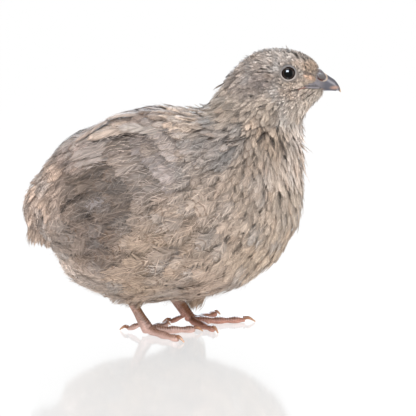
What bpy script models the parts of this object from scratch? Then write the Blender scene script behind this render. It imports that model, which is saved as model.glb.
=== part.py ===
"""A silver-grey coturnix quail, life size, standing still with its head up.

The origin is on the floor under the middle of the bird. +X is the way that it faces, +Y is
its left and +Z is up. Every size is in metres.
"""

import math
import random
from collections import namedtuple

import bmesh
import bpy
from mathutils import Matrix, Vector
from mathutils.bvhtree import BVHTree

GAP = 0.0003  # between parts that touch
CORNER_LIMIT = 1.5  # how much further than the gap a sharp corner moves out when a part is swollen
SIDEWAYS = Vector((0, 1, 0))
OUTSIDE = 0.1  # to the side of the middle, clear of the whole bird
UP = Vector((0, 0, 1))
LEFT, RIGHT = 1, -1
SIDE_NAMES = {LEFT: "left", RIGHT: "right"}

# A section is one slice through the plumage: the points (x, z) where it meets the bird's upper
# and lower outline, and half of its width.
Section = namedtuple("Section", "top bottom half_width")
SECTIONS = {
    "rump_end": Section((-0.0686, 0.0738), (-0.0655, 0.0415), 0.0135),
    "rump": Section((-0.0630, 0.0848), (-0.0602, 0.0324), 0.0215),
    "loin": Section((-0.0514, 0.0962), (-0.0482, 0.0214), 0.0300),
    "saddle": Section((-0.0360, 0.1040), (-0.0312, 0.0162), 0.0355),
    "mid_back": Section((-0.0197, 0.1084), (-0.0125, 0.0144), 0.0385),
    "keel": Section((-0.0043, 0.1094), (0.0091, 0.0162), 0.0385),
    "shoulder": Section((0.0053, 0.1100), (0.0299, 0.0233), 0.0360),
    "breast": Section((0.0105, 0.1110), (0.0470, 0.0347), 0.0325),
    "upper_breast": Section((0.0132, 0.1130), (0.0559, 0.0494), 0.0285),
    "neck_base": Section((0.0166, 0.1169), (0.0588, 0.0809), 0.0210),
    "neck": Section((0.0180, 0.1189), (0.0574, 0.0929), 0.0178),
    "nape": Section((0.0211, 0.1217), (0.0583, 0.1015), 0.0158),
    "occiput": Section((0.0251, 0.1271), (0.0600, 0.1072), 0.0138),
    "back_of_crown": Section((0.0330, 0.1342), (0.0629, 0.1106), 0.0109),
    "crown": Section((0.0430, 0.1370), (0.0646, 0.1124), 0.0098),
    "forehead": Section((0.0555, 0.1356), (0.0661, 0.1140), 0.0082),
    "brow": Section((0.0603, 0.1326), (0.0669, 0.1149), 0.0064),
    "bill_base": Section((0.0636, 0.1288), (0.0677, 0.1161), 0.0045),
}
SECTION_NAMES = list(SECTIONS)
BELLY_FULLNESS = 0.10  # how far the widest level lies below the middle
TORSO_SIDES, NECK_SIDES, HEAD_SIDES = 36, 32, 28
RING_STEP = 0.5  # of a section, from ring to ring
FINE_SIDES, FINE_STEP = 96, 0.125  # of the smooth surface that the wing feathers lie along
RUMP_BULGE, FACE_BULGE = 0.0050, 0.0008
DOME_RINGS = 3

EYE_PLACE = (0.0497, 0.0062, 0.1250)  # of the left one
EYE_RADIUS = 0.0046
LID_RADIUS, LID_THICKNESS = 0.0042, 0.0009
LID_PLACE_Y = 0.0093

MATERIALS = {
    # name: (colour, roughness)
    "plumage": ((0.45, 0.38, 0.32), 0.85),
    "wing_plumage": ((0.40, 0.35, 0.31), 0.80),
    "horn": ((0.20, 0.19, 0.20), 0.40),
    "skin_pink": ((0.48, 0.22, 0.17), 0.55),
    "claw_horn": ((0.38, 0.20, 0.10), 0.35),
    "eye_dark": ((0.010, 0.006, 0.005), 0.05),
}


def material(name):
    """The named finish, made the first time that it is asked for."""
    if name in bpy.data.materials:
        return bpy.data.materials[name]
    colour, roughness = MATERIALS[name]
    made = bpy.data.materials.new(name)
    made.use_nodes = True
    shader = made.node_tree.nodes["Principled BSDF"]
    shader.inputs["Base Color"].default_value = (*colour, 1)
    shader.inputs["Roughness"].default_value = roughness
    shader.inputs["Metallic"].default_value = 0
    return made


def add_object(name, shape, finish):
    """A new object from a bmesh, which is freed."""
    bmesh.ops.recalc_face_normals(shape, faces=shape.faces)
    mesh = bpy.data.meshes.new(name)
    shape.to_mesh(mesh)
    shape.free()
    mesh.materials.append(material(finish))
    obj = bpy.data.objects.new(name, mesh)
    bpy.context.scene.collection.objects.link(obj)
    return obj


def loft(rings):
    """A closed bmesh through rings of points, with a flat face on each end."""
    shape = bmesh.new()
    hoops = [[shape.verts.new(point) for point in ring] for ring in rings]
    count = len(hoops[0])
    for first, second in zip(hoops, hoops[1:]):
        for k in range(count):
            after = (k + 1) % count
            shape.faces.new((first[k], first[after], second[after], second[k]))
    shape.faces.new(hoops[0])
    shape.faces.new(hoops[-1])
    return shape


def apply_modifiers(obj):
    """Makes the evaluated mesh the object's own."""
    graph = bpy.context.evaluated_depsgraph_get()
    mesh = bpy.data.meshes.new_from_object(obj.evaluated_get(graph))
    obj.modifiers.clear()
    obj.data = mesh


def keep_largest(obj):
    """Drops every closed surface of the object but the one that holds the most."""
    shape = bmesh.new()
    shape.from_mesh(obj.data)
    bmesh.ops.triangulate(shape, faces=shape.faces)
    left = set(shape.faces)
    bodies = []
    while left:
        front = [left.pop()]
        body = set(front)
        while front:
            near = {other for edge in front.pop().edges for other in edge.link_faces} & left
            left -= near
            body |= near
            front.extend(near)
        bodies.append(body)

    def volume(body):
        corners = [[vertex.co for vertex in face.verts] for face in body]
        return sum(a.dot(b.cross(c)) for a, b, c in corners) / 6

    bodies.sort(key=volume)
    dropped = [face for body in bodies[:-1] for face in body]
    bmesh.ops.delete(shape, geom=dropped, context="FACES")
    shape.to_mesh(obj.data)
    shape.free()


def fuse(obj, pieces):
    """Joins closed pieces to the object as one closed body, and removes them."""
    group = bpy.data.collections.new(obj.name + "_pieces")
    for piece in pieces:
        group.objects.link(piece)
    union = obj.modifiers.new("union", "BOOLEAN")
    union.operation = "UNION"
    union.solver = "EXACT"
    union.operand_type = "COLLECTION"
    union.collection = group
    apply_modifiers(obj)
    for piece in pieces:
        bpy.data.objects.remove(piece)
    bpy.data.collections.remove(group)
    keep_largest(obj)


def cut(obj, cutters):
    """Takes the cutters out of the object, and removes them."""
    for cutter in cutters:
        difference = obj.modifiers.new("cut", "BOOLEAN")
        difference.operation = "DIFFERENCE"
        difference.solver = "EXACT"
        difference.object = cutter
    apply_modifiers(obj)
    for cutter in cutters:
        bpy.data.objects.remove(cutter)
    keep_largest(obj)


def swollen(obj):
    """A copy of the object that reaches further out by the gap."""
    shape = bmesh.new()
    shape.from_mesh(obj.data)
    shape.normal_update()
    moves = [vertex.normal * min(vertex.calc_shell_factor(), CORNER_LIMIT) * GAP for vertex in shape.verts]
    for vertex, move in zip(shape.verts, moves):
        vertex.co += move
    mesh = bpy.data.meshes.new(obj.name + "_swollen")
    shape.to_mesh(mesh)
    shape.free()
    copy = bpy.data.objects.new(obj.name + "_swollen", mesh)
    bpy.context.scene.collection.objects.link(copy)
    copy.hide_render = True
    return copy


def ellipsoid(name, place, radii, finish, turn=0.0, rings=8):
    """A closed ellipsoid, turned about the Y axis."""
    shape = bmesh.new()
    size = Matrix.Diagonal((*radii, 1))
    matrix = Matrix.Translation(place) @ Matrix.Rotation(turn, 4, "Y") @ size
    bmesh.ops.create_uvsphere(shape, u_segments=2 * rings, v_segments=rings, radius=1, matrix=matrix)
    return add_object(name, shape, finish)


# The plumage as one smooth form, parted into torso, neck and head


def section_at(place):
    """The section at a place along the bird: 0 is the first name, 1 the next, and all blend smoothly."""
    rows = [(*s.top, *s.bottom, s.half_width) for s in SECTIONS.values()]
    last = len(rows) - 1
    first = min(int(place), last - 1)
    f = place - first
    before, here, there, after = (rows[min(max(first + k, 0), last)] for k in (-1, 0, 1, 2))
    values = []
    for a, b, c, d in zip(before, here, there, after):
        slope = 0.5 * (c - a)
        bend = a - 2.5 * b + 2 * c - 0.5 * d
        twist = -0.5 * a + 1.5 * b - 1.5 * c + 0.5 * d
        values.append(b + f * (slope + f * (bend + f * twist)))
    return Section(tuple(values[0:2]), tuple(values[2:4]), values[4])


def section_frame(section):
    """The middle of a section, half of its height as a vector, and the way forward through it."""
    top = Vector((section.top[0], 0, section.top[1]))
    bottom = Vector((section.bottom[0], 0, section.bottom[1]))
    rise = (top - bottom) / 2
    return (top + bottom) / 2, rise, SIDEWAYS.cross(rise).normalized()


def hoop(place, sides, shift=0.0):
    """The ring of points round the plumage at a place, moved forward by shift."""
    section = section_at(place)
    middle, rise, forward = section_frame(section)
    points = []
    for k in range(sides):
        angle = math.tau * k / sides
        spread = section.half_width * math.sin(angle) * (1 - BELLY_FULLNESS * math.cos(angle))
        points.append(middle + rise * math.cos(angle) + SIDEWAYS * spread + forward * shift)
    return points


def dome(place, sides, bulge):
    """Rings that round off the end at a place, from the widest to the pole. A negative bulge faces back."""
    middle, _, forward = section_frame(section_at(place))
    rings = []
    for j in range(1, DOME_RINGS + 1):
        turn = math.pi / 2 * j / (DOME_RINGS + 0.25)
        centre = middle + forward * bulge * math.sin(turn)
        rings.append([centre + (point - middle) * math.cos(turn) for point in hoop(place, sides)])
    return rings


def hoops_between(start, end, sides, step):
    """Rings from one named section to another."""
    first, last = SECTION_NAMES.index(start), SECTION_NAMES.index(end)
    count = round((last - first) / step)
    return [hoop(first + (last - first) * k / count, sides) for k in range(count + 1)]


def torso_rings(sides, step):
    rump = dome(0, sides, -RUMP_BULGE)[::-1]
    return rump + hoops_between("rump_end", "neck_base", sides, step)


def make_torso():
    return add_object("torso", loft(torso_rings(TORSO_SIDES, RING_STEP)), "plumage")


def make_neck():
    rings = hoops_between("neck_base", "occiput", NECK_SIDES, RING_STEP)
    rings[0] = hoop(SECTION_NAMES.index("neck_base"), NECK_SIDES, GAP)
    return add_object("neck", loft(rings), "plumage")


def bent_tube(name, path, radii, finish, sides=8, floor=False):
    """A closed round tube through the path's points, with its own radius at each.

    With a floor, the part that would sink below z = 0 is flat instead.
    """
    rings = []
    first_angle = 0.5 if sides % 4 == 0 else 0  # so that two points of each ring share the lowest level
    across = (path[1] - path[0]).cross(UP).normalized()
    for k, point in enumerate(path):
        ahead = (path[min(k + 1, len(path) - 1)] - path[max(k - 1, 0)]).normalized()
        across = (across - ahead * across.dot(ahead)).normalized()
        over = across.cross(ahead)
        ring = []
        for j in range(sides):
            angle = math.tau * (j + first_angle) / sides
            spot = point + (across * math.cos(angle) + over * math.sin(angle)) * radii[k]
            if floor:
                spot.z = max(spot.z, 0)
            ring.append(spot)
        rings.append(ring)
    return add_object(name, loft(rings), finish)


# The gape runs from the corner of the mouth to the bill. Its points lie near the cheek
MOUTH_LINE = ((0.0548, 0.1182), (0.0585, 0.1186), (0.0618, 0.1193), (0.0650, 0.1194), (0.0690, 0.1188))
MOUTH_GROOVE = 0.00038
CHEEK_CLEAR = 0.02  # to the side of the middle, outside the cheek


def make_head(eye_sockets):
    rings = hoops_between("occiput", "bill_base", HEAD_SIDES, RING_STEP)
    rings[0] = hoop(SECTION_NAMES.index("occiput"), HEAD_SIDES, GAP)
    rings += dome(len(SECTIONS) - 1, HEAD_SIDES, FACE_BULGE)
    head = add_object("head", loft(rings), "plumage")
    face = surface_of(head)
    lids = []
    grooves = []
    for side in (LEFT, RIGHT):
        bpy.ops.mesh.primitive_torus_add(
            major_segments=20,
            minor_segments=6,
            major_radius=LID_RADIUS,
            minor_radius=LID_THICKNESS,
            location=(EYE_PLACE[0], side * LID_PLACE_Y, EYE_PLACE[2]),
            rotation=(math.pi / 2, 0, 0),
        )
        lid = bpy.context.object
        lid.data.transform(lid.matrix_world)
        lid.matrix_world = Matrix.Identity(4)
        lids.append(lid)
        line = []
        for x, z in MOUTH_LINE:
            line.append(face.find_nearest(Vector((x, side * CHEEK_CLEAR, z)))[0])
        grooves.append(bent_tube("mouth_" + SIDE_NAMES[side], line, [MOUTH_GROOVE] * len(line), "horn", 6))
    fuse(head, lids)
    cut(head, eye_sockets + grooves)
    return head


def make_eyes():
    """The two eyes, and the sockets that they leave in the head."""
    eyes, sockets = [], []
    for side in (LEFT, RIGHT):
        place = (EYE_PLACE[0], side * EYE_PLACE[1], EYE_PLACE[2])
        eyes.append(ellipsoid("eye_" + SIDE_NAMES[side], place, [EYE_RADIUS] * 3, "eye_dark", rings=8))
        socket = ellipsoid("socket_" + SIDE_NAMES[side], place, [EYE_RADIUS + GAP] * 3, "eye_dark", rings=8)
        socket.hide_render = True
        sockets.append(socket)
    return eyes, sockets


# The bill

# Each row is a slice of the upper half: its top (x, z), its lower edge (x, z) and half of its width
UPPER_BILL = (
    ((0.0628, 0.1290), (0.0630, 0.1190), 0.0042),
    ((0.0665, 0.1268), (0.0665, 0.1189), 0.0038),
    ((0.0699, 0.1243), (0.0697, 0.1184), 0.0031),
    ((0.0727, 0.1214), (0.0722, 0.1176), 0.0023),
    ((0.0747, 0.1187), (0.0739, 0.1167), 0.0014),
    ((0.0759, 0.1166), (0.0753, 0.1158), 0.0006),
)
LOWER_BILL = (
    ((0.0632, 0.1184), (0.0640, 0.1152), 0.0036),
    ((0.0668, 0.1183), (0.0674, 0.1157), 0.0033),
    ((0.0698, 0.1178), (0.0702, 0.1158), 0.0026),
    ((0.0722, 0.1170), (0.0722, 0.1158), 0.0017),
    ((0.0737, 0.1163), (0.0736, 0.1157), 0.0009),
)
BILL_SIDES = 16
NOSTRIL = (0.0672, 0.0031, 0.1232)  # of the left one, under its flap
NOSTRIL_FLAP = (0.0021, 0.0010, 0.0014)
NOSTRIL_SLIT = 0.00035
# The slit's ends, from the nostril; the second number is measured outwards
SLIT_START, SLIT_END = (-0.0021, 0.0011, -0.0003), (0.0012, 0.0004, -0.0019)
BILL_ROUNDNESS = 0.8  # 1 is an ellipse, less is fuller


def bill_half(name, slices, ridge):
    """Half of the bill: each slice is round on its ridge side, and flat where the two halves meet."""
    rings = []
    for top, bottom, half_width in slices:
        top, bottom = Vector((top[0], 0, top[1])), Vector((bottom[0], 0, bottom[1]))
        flat, round_side = (bottom, top) if ridge else (top, bottom)
        ring = []
        for k in range(BILL_SIDES):
            angle = math.pi * k / (BILL_SIDES - 1)
            across = SIDEWAYS * half_width * math.cos(angle)
            ring.append(flat + across + (round_side - flat) * math.sin(angle) ** BILL_ROUNDNESS)
        rings.append(ring)
    return add_object(name, loft(rings), "horn")


def make_bill(head):
    upper = bill_half("bill_upper", UPPER_BILL, True)
    flaps, slits = [], []
    for side in (LEFT, RIGHT):
        place = Vector((NOSTRIL[0], side * NOSTRIL[1], NOSTRIL[2]))
        flaps.append(ellipsoid("flap", place, NOSTRIL_FLAP, "horn", turn=math.radians(32), rings=6))
        ends = [place + Vector((x, side * out, z)) for x, out, z in (SLIT_START, SLIT_END)]
        slits.append(bent_tube("slit", ends, [NOSTRIL_SLIT] * 2, "horn", 6))
    fuse(upper, flaps)
    cut(upper, slits + [swollen(head)])
    lower = bill_half("bill_lower", LOWER_BILL, False)
    cut(lower, [swollen(head)])


# Legs and feet

SHANK_RADIUS = 0.0024
KNUCKLE_RADIUS = 0.0029
KNUCKLE_HEIGHT = 0.0031
TOE_RADII = (0.0019, 0.00165, 0.0015)  # root, middle, tip
TOE_SIDES, CLAW_SIDES, SHANK_SIDES = 10, 8, 14
KNUCKLES_PER_TOE, STEPS_PER_KNUCKLE = 3, 3
KNUCKLE_SWELL = 0.07  # share of a toe's radius
TOE_END = 0.72  # how much the last ring of a toe is drawn in
TOE_SQUASH = 0.86  # how flat a toe lies on the floor
TOE_RISE, BACK_TOE_RISE = 0.9, 1.1  # height of a toe's root, as a share of the knuckle's
SHANK_SINK = 0.0022  # how far the shank's end goes below the knuckle
CLAW_ROOT, CLAW_TIP = 0.00085, 0.00026
CLAW_SINK = 0.0012  # how far a claw's root lies inside the toe
CLAW_HEIGHT, CLAW_ARCH, CLAW_DROP = 0.00165, 0.0006, 0.00135
CLAW_STEPS = 5
# knuckle: where the toes meet, on the floor; hock: the upper end of the shank; tips: where each
# toe and its claw end on the floor
FEET = {
    RIGHT: {
        "knuckle": (-0.0164, -0.0100),
        "hock": (-0.0240, -0.0112, 0.0172),
        "tips": {
            "middle": ((0.0068, -0.0058), (0.0104, -0.0056)),
            "inner": ((-0.0074, 0.0040), (-0.0056, 0.0068)),
            "outer": ((-0.0013, -0.0240), (0.0016, -0.0262)),
            "back": ((-0.0262, -0.0048), (-0.0297, -0.0026)),
        },
        "thigh": (-0.0225, -0.0118, 0.0206),
        "thigh_radii": (0.0085, 0.0070, 0.0068),
        "thigh_lean": 0.5,
    },
    LEFT: {
        "knuckle": (0.0040, 0.0086),
        "hock": (-0.0052, 0.0100, 0.0164),
        "tips": {
            "middle": ((0.0312, 0.0128), (0.0362, 0.0132)),
            "inner": ((0.0156, -0.0056), (0.0178, -0.0092)),
            "outer": ((0.0166, 0.0248), (0.0190, 0.0274)),
            "back": ((-0.0060, 0.0094), (-0.0094, 0.0110)),
        },
        "thigh": (-0.0010, 0.0118, 0.0185),
        "thigh_radii": (0.0125, 0.0072, 0.0082),
        "thigh_lean": 0.45,
    },
}


def make_toe(name, root, tip, start_height):
    """A toe that comes down from the knuckle and lies along the floor, thicker at each joint."""
    path, radii = [], []
    steps = STEPS_PER_KNUCKLE * KNUCKLES_PER_TOE
    for k in range(steps + 1):
        f = k / steps
        down = (1 - f) ** 3
        first, mid, last = TOE_RADII
        radius = first + (mid - first) * 2 * f if f < 0.5 else mid + (last - mid) * (2 * f - 1)
        radius *= 1 + KNUCKLE_SWELL * math.cos(math.tau * KNUCKLES_PER_TOE * f)
        if k == steps:
            radius *= TOE_END
        height = (1 - down) * TOE_RADII[2] * TOE_SQUASH + down * start_height
        path.append(root.lerp(tip, f) + UP * height)
        radii.append(radius)
    return bent_tube(name, path, radii, "skin_pink", TOE_SIDES, floor=True)


def make_claw(name, root, tip):
    """A horn hook that leaves the upper half of the toe's end and curves down to the floor."""
    path, radii = [], []
    for k in range(CLAW_STEPS + 1):
        f = k / CLAW_STEPS
        height = CLAW_HEIGHT + CLAW_ARCH * math.sin(math.pi * min(1, 1.3 * f)) - CLAW_DROP * f**2.2
        path.append(root.lerp(tip, f) + UP * height)
        radii.append(CLAW_ROOT + (CLAW_TIP - CLAW_ROOT) * f)
    return bent_tube(name, path, radii, "claw_horn", CLAW_SIDES, floor=True)


def make_leg(side, torso):
    """One leg: its feathered thigh below the belly, the bare shank, four toes and their claws."""
    foot = FEET[side]
    suffix = "_" + SIDE_NAMES[side]
    knuckle = Vector((*foot["knuckle"], KNUCKLE_HEIGHT))
    hock = Vector(foot["hock"])
    path = [hock, hock.lerp(knuckle, 0.35), hock.lerp(knuckle, 0.75), knuckle, knuckle - UP * SHANK_SINK]
    radii = [SHANK_RADIUS, SHANK_RADIUS, SHANK_RADIUS * 1.08, KNUCKLE_RADIUS, KNUCKLE_RADIUS * 0.75]
    shank = bent_tube("shank" + suffix, path, radii, "skin_pink", SHANK_SIDES, floor=True)
    thigh = ellipsoid(
        "thigh" + suffix, foot["thigh"], foot["thigh_radii"], "plumage", turn=foot["thigh_lean"], rings=12
    )
    cut(thigh, [swollen(torso), swollen(shank)])
    cut(shank, [swollen(torso)])
    toes = {}
    for toe, (tip, claw_tip) in foot["tips"].items():
        root = Vector((*foot["knuckle"], 0))
        start_height = KNUCKLE_HEIGHT * (BACK_TOE_RISE if toe == "back" else TOE_RISE)
        toes[toe] = make_toe(f"toe{suffix}_{toe}", root, Vector((*tip, 0)), start_height)
        cutters = [swollen(shank)]
        if toe != "middle":
            cutters.append(swollen(toes["middle"]))
        cut(toes[toe], cutters)
        back = (Vector((*tip, 0)) - Vector((*claw_tip, 0))).normalized() * CLAW_SINK
        claw = make_claw(f"claw{suffix}_{toe}", Vector((*tip, 0)) + back, Vector((*claw_tip, 0)))
        cut(claw, [swollen(toes[toe])])


# Feathers of the wing and tail

VANE_THICKNESS = 0.00055
VANE_STATIONS = ((0.0, 0.50), (0.38, 1.0), (0.80, 0.86), (1.0, 0.36))  # along, width
VANE_CAMBER = 0.00035


def plate(rows):
    """A thin closed bmesh from rows of (upper, lower) points, split into triangles alike on both faces."""
    shape = bmesh.new()
    upper = [[shape.verts.new(pair[0]) for pair in row] for row in rows]
    lower = [[shape.verts.new(pair[1]) for pair in row] for row in rows]
    wide = len(rows[0])
    for i in range(len(rows) - 1):
        for j in range(wide - 1):
            for grid in (upper, lower):
                shape.faces.new((grid[i][j], grid[i][j + 1], grid[i + 1][j + 1]))
                shape.faces.new((grid[i][j], grid[i + 1][j + 1], grid[i + 1][j]))
    rim = [(i, 0) for i in range(len(rows))]
    rim += [(len(rows) - 1, j) for j in range(1, wide)]
    rim += [(i, wide - 1) for i in range(len(rows) - 2, -1, -1)]
    rim += [(0, j) for j in range(wide - 2, 0, -1)]
    for (i, j), (m, n) in zip(rim, rim[1:] + rim[:1]):
        shape.faces.new((upper[i][j], upper[m][n], lower[m][n]))
        shape.faces.new((upper[i][j], lower[m][n], lower[i][j]))
    return shape


def surface_of(obj):
    shape = bmesh.new()
    shape.from_mesh(obj.data)
    tree = BVHTree.FromBMesh(shape)
    shape.free()
    return tree


def smooth_torso():
    """The torso's own form, finely divided, for feathers to lie along."""
    shape = loft(torso_rings(FINE_SIDES, FINE_STEP))
    bmesh.ops.recalc_face_normals(shape, faces=shape.faces)
    tree = BVHTree.FromBMesh(shape)
    shape.free()
    return tree


# The folded wing lies on the flank. Its places are seen from the side, as along (back and down
# the wing from the bend at the shoulder) and up (square to that), from the middle of its pad.
WING_MIDDLE = (-0.0240, 0.0840)  # x, z
WING_SLOPE = math.radians(20)
PAD_HALF_LENGTH, PAD_HALF_DEPTH = 0.0370, 0.0185
PAD_THICKNESS, PAD_EDGE = 0.0034, 0.0006
PAD_CLEAR = 0.00036
PAD_RINGS, PAD_SPOKES = 5, 28


def wing_spot(along, up):
    """The side-view point of a place on the wing."""
    x = WING_MIDDLE[0] - along * math.cos(WING_SLOPE) - up * math.sin(WING_SLOPE)
    z = WING_MIDDLE[1] - along * math.sin(WING_SLOPE) + up * math.cos(WING_SLOPE)
    return x, z


def onto_flank(surface, side, along, up):
    """Where a place on the wing meets the flank, and the way out from it."""
    x, z = wing_spot(along, up)
    spot, normal, _, _ = surface.ray_cast(Vector((x, side * OUTSIDE, z)), Vector((0, -side, 0)))
    if spot is None:  # past the outline of the back, the nearest place on it
        spot, normal, _, _ = surface.find_nearest(Vector((x, 0, z)))
    return spot, normal


def pad_height(along, up):
    """How far the pad under the wing feathers stands off the flank."""
    away = (along / PAD_HALF_LENGTH) ** 2 + (up / PAD_HALF_DEPTH) ** 2
    return PAD_CLEAR + PAD_EDGE + PAD_THICKNESS * max(0, 1 - away)


def make_wing_pad(name, surface, side):
    """The closed body of the folded wing, flat against the flank."""
    rows = []
    for i in range(PAD_RINGS + 1):
        share = math.sin(math.pi / 2 * i / PAD_RINGS)
        row = []
        for k in range(PAD_SPOKES):
            angle = math.tau * k / PAD_SPOKES
            along = share * PAD_HALF_LENGTH * math.cos(angle)
            up = share * PAD_HALF_DEPTH * math.sin(angle)
            spot, normal = onto_flank(surface, side, along, up)
            row.append((spot + normal * pad_height(along, up), spot + normal * PAD_CLEAR))
        rows.append(row)
    shape = bmesh.new()
    layers = []
    for face in (0, 1):
        middle = shape.verts.new(rows[0][0][face])
        grid = [[shape.verts.new(pair[face]) for pair in row] for row in rows[1:]]
        for k in range(PAD_SPOKES):
            after = (k + 1) % PAD_SPOKES
            shape.faces.new((middle, grid[0][k], grid[0][after]))
            for near, far in zip(grid, grid[1:]):
                shape.faces.new((near[k], far[k], far[after]))
                shape.faces.new((near[k], far[after], near[after]))
        layers.append(grid[-1])
    for k in range(PAD_SPOKES):
        after = (k + 1) % PAD_SPOKES
        shape.faces.new((layers[0][k], layers[0][after], layers[1][after]))
        shape.faces.new((layers[0][k], layers[1][after], layers[1][k]))
    return add_object(name, shape, "wing_plumage")


# A tier is a row of like feathers: how many, where the first and last spring from (along, up),
# how much each is turned down from the wing's own line, its length and width, and how far the
# root is sunk and the tip stands off what it lies on.
Tier = namedtuple("Tier", "count first last turns length width sunk clear")
WING_TIERS = {
    "primaries": Tier(3, (0.0200, -0.0080), (0.0215, -0.0010), (-2, 6), 0.0250, 0.0066, 0.0005, 0.0003),
    "secondaries": Tier(6, (0.0030, -0.0150), (0.0100, 0.0110), (-4, 10), 0.0310, 0.0080, 0.0004, 0.0010),
    "coverts": Tier(6, (-0.0150, -0.0140), (-0.0080, 0.0125), (-4, 8), 0.0230, 0.0080, 0.0003, 0.0018),
    "lesser": Tier(5, (-0.0310, -0.0080), (-0.0250, 0.0110), (-4, 8), 0.0170, 0.0076, 0.0003, 0.0024),
    "scapulars": Tier(4, (-0.0160, 0.0100), (0.0070, 0.0095), (4, 0), 0.0220, 0.0088, 0.0002, 0.0030),
}
VANE_CLEAR = 0.0009  # above the flank, so that the straight lines between stations clear it too
SHINGLE_TILT = 0.10  # the lower edge of a feather stands off by this share of its distance
CHANCE_SEED = {LEFT: 11, RIGHT: 5}


def lay_vane(surface, side, along, up, turn, tier, chance):
    """One feather of a tier, laid back along the flank."""
    length = tier.length * chance.uniform(0.94, 1.06)
    width = tier.width * chance.uniform(0.95, 1.05)
    turn = math.radians(turn + chance.uniform(-2, 2))
    rows = []
    for share, wide in VANE_STATIONS:
        row = []
        for across in (-1, 0, 1):
            offset = across * wide * width / 2
            run = along + share * length * math.cos(turn) + offset * math.sin(turn)
            rise = up - share * length * math.sin(turn) + offset * math.cos(turn)
            spot, normal = onto_flank(surface, side, run, rise)
            clear = tier.clear * share - tier.sunk * (1 - share)
            camber = VANE_CAMBER * (1 - abs(across))
            under = pad_height(run, rise) + clear - offset * SHINGLE_TILT + camber
            under = max(under, VANE_CLEAR + camber)
            row.append((spot + normal * (under + VANE_THICKNESS), spot + normal * under))
        rows.append(row)
    return add_object("vane", plate(rows), "wing_plumage")


def make_wing(side, surface):
    """The folded wing: a pad with its flight feathers and coverts in tiers."""
    chance = random.Random(CHANCE_SEED[side])
    wing = make_wing_pad("wing_" + SIDE_NAMES[side], surface, side)
    vanes = []
    for tier in WING_TIERS.values():
        for k in range(tier.count):
            f = k / (tier.count - 1)
            along = tier.first[0] + (tier.last[0] - tier.first[0]) * f
            up = tier.first[1] + (tier.last[1] - tier.first[1]) * f
            turn = tier.turns[0] + (tier.turns[1] - tier.turns[0]) * f
            vanes.append(lay_vane(surface, side, along, up, turn, tier, chance))
    fuse(wing, vanes)
    return wing


# The tail droops, and its fan is bent like a roof round the vent. Places are for the middle
# feather and the outermost of the left side.
TAIL_CORE = ((-0.0682, 0, 0.0580), (0.0072, 0.0125, 0.0145))
TAIL_INSIDE = Vector((-0.0480, 0, 0.0560))  # what the fan's outer face looks away from
Fan = namedtuple("Fan", "pairs width middle_root outer_root middle_tip outer_tip")
FANS = (
    Fan(
        5,
        0.0064,
        middle_root=(-0.0712, 0.0012, 0.0660),
        outer_root=(-0.0645, 0.0125, 0.0600),
        middle_tip=(-0.0735, 0.0016, 0.0436),
        outer_tip=(-0.0628, 0.0140, 0.0395),
    ),
    Fan(
        4,
        0.0074,
        middle_root=(-0.0680, 0.0012, 0.0740),
        outer_root=(-0.0625, 0.0125, 0.0690),
        middle_tip=(-0.0752, 0.0014, 0.0535),
        outer_tip=(-0.0660, 0.0145, 0.0490),
    ),
)
STACK_STEP = 0.0003  # how far each feather of a fan lies under the one nearer the middle
LEFT_OVER_RIGHT = 0.0002
TAIL_BOW = 0.0016


def tail_vane(fan, side, f, raised):
    """One feather of a fan, from 0 in the middle to 1 at the edge, raised by a little."""
    root = Vector(fan.middle_root).lerp(Vector(fan.outer_root), f)
    tip = Vector(fan.middle_tip).lerp(Vector(fan.outer_tip), f)
    root.y *= side
    tip.y *= side
    along = tip - root
    out = (root + tip) / 2 - TAIL_INSIDE
    out = (out - out.project(along)).normalized()
    across = along.cross(out).normalized() * side
    rows = []
    for share, wide in VANE_STATIONS:
        row = []
        for j in (-1, 0, 1):
            offset = j * wide * fan.width / 2
            spot = root + along * share + across * offset
            bow = TAIL_BOW * math.sin(math.pi * share)
            spot += out * (bow + raised + VANE_CAMBER * (1 - abs(j)) - SHINGLE_TILT * offset)
            row.append((spot + out * VANE_THICKNESS, spot))
        rows.append(row)
    return add_object("vane", plate(rows), "wing_plumage")


def make_tail(torso):
    """The short drooping tail: a soft core, five pairs of feathers in a fan and four pairs of coverts."""
    place, radii = TAIL_CORE
    tail = ellipsoid("tail", place, radii, "wing_plumage", turn=math.radians(12), rings=8)
    vanes = []
    for fan in FANS:
        for side in (LEFT, RIGHT):
            for k in range(fan.pairs):
                raised = (LEFT_OVER_RIGHT if side == LEFT else 0) - STACK_STEP * k
                vanes.append(tail_vane(fan, side, k / (fan.pairs - 1), raised))
    fuse(tail, vanes)
    cut(tail, [swollen(torso)])
    return tail


for old in list(bpy.data.objects):
    bpy.data.objects.remove(old)

torso = make_torso()
make_neck()
_, eye_sockets = make_eyes()
head = make_head(eye_sockets)
make_bill(head)
flank = smooth_torso()
for side in (LEFT, RIGHT):
    make_wing(side, flank)
    make_leg(side, torso)
make_tail(torso)

for obj in bpy.data.objects:
    obj.data.shade_smooth()
    obj.data.set_sharp_from_angle(angle=math.radians(40))
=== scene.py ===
import math
from collections import namedtuple

import bpy
import numpy as np
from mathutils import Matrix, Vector, noise
from mathutils.bvhtree import BVHTree
from mathutils.kdtree import KDTree


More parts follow.
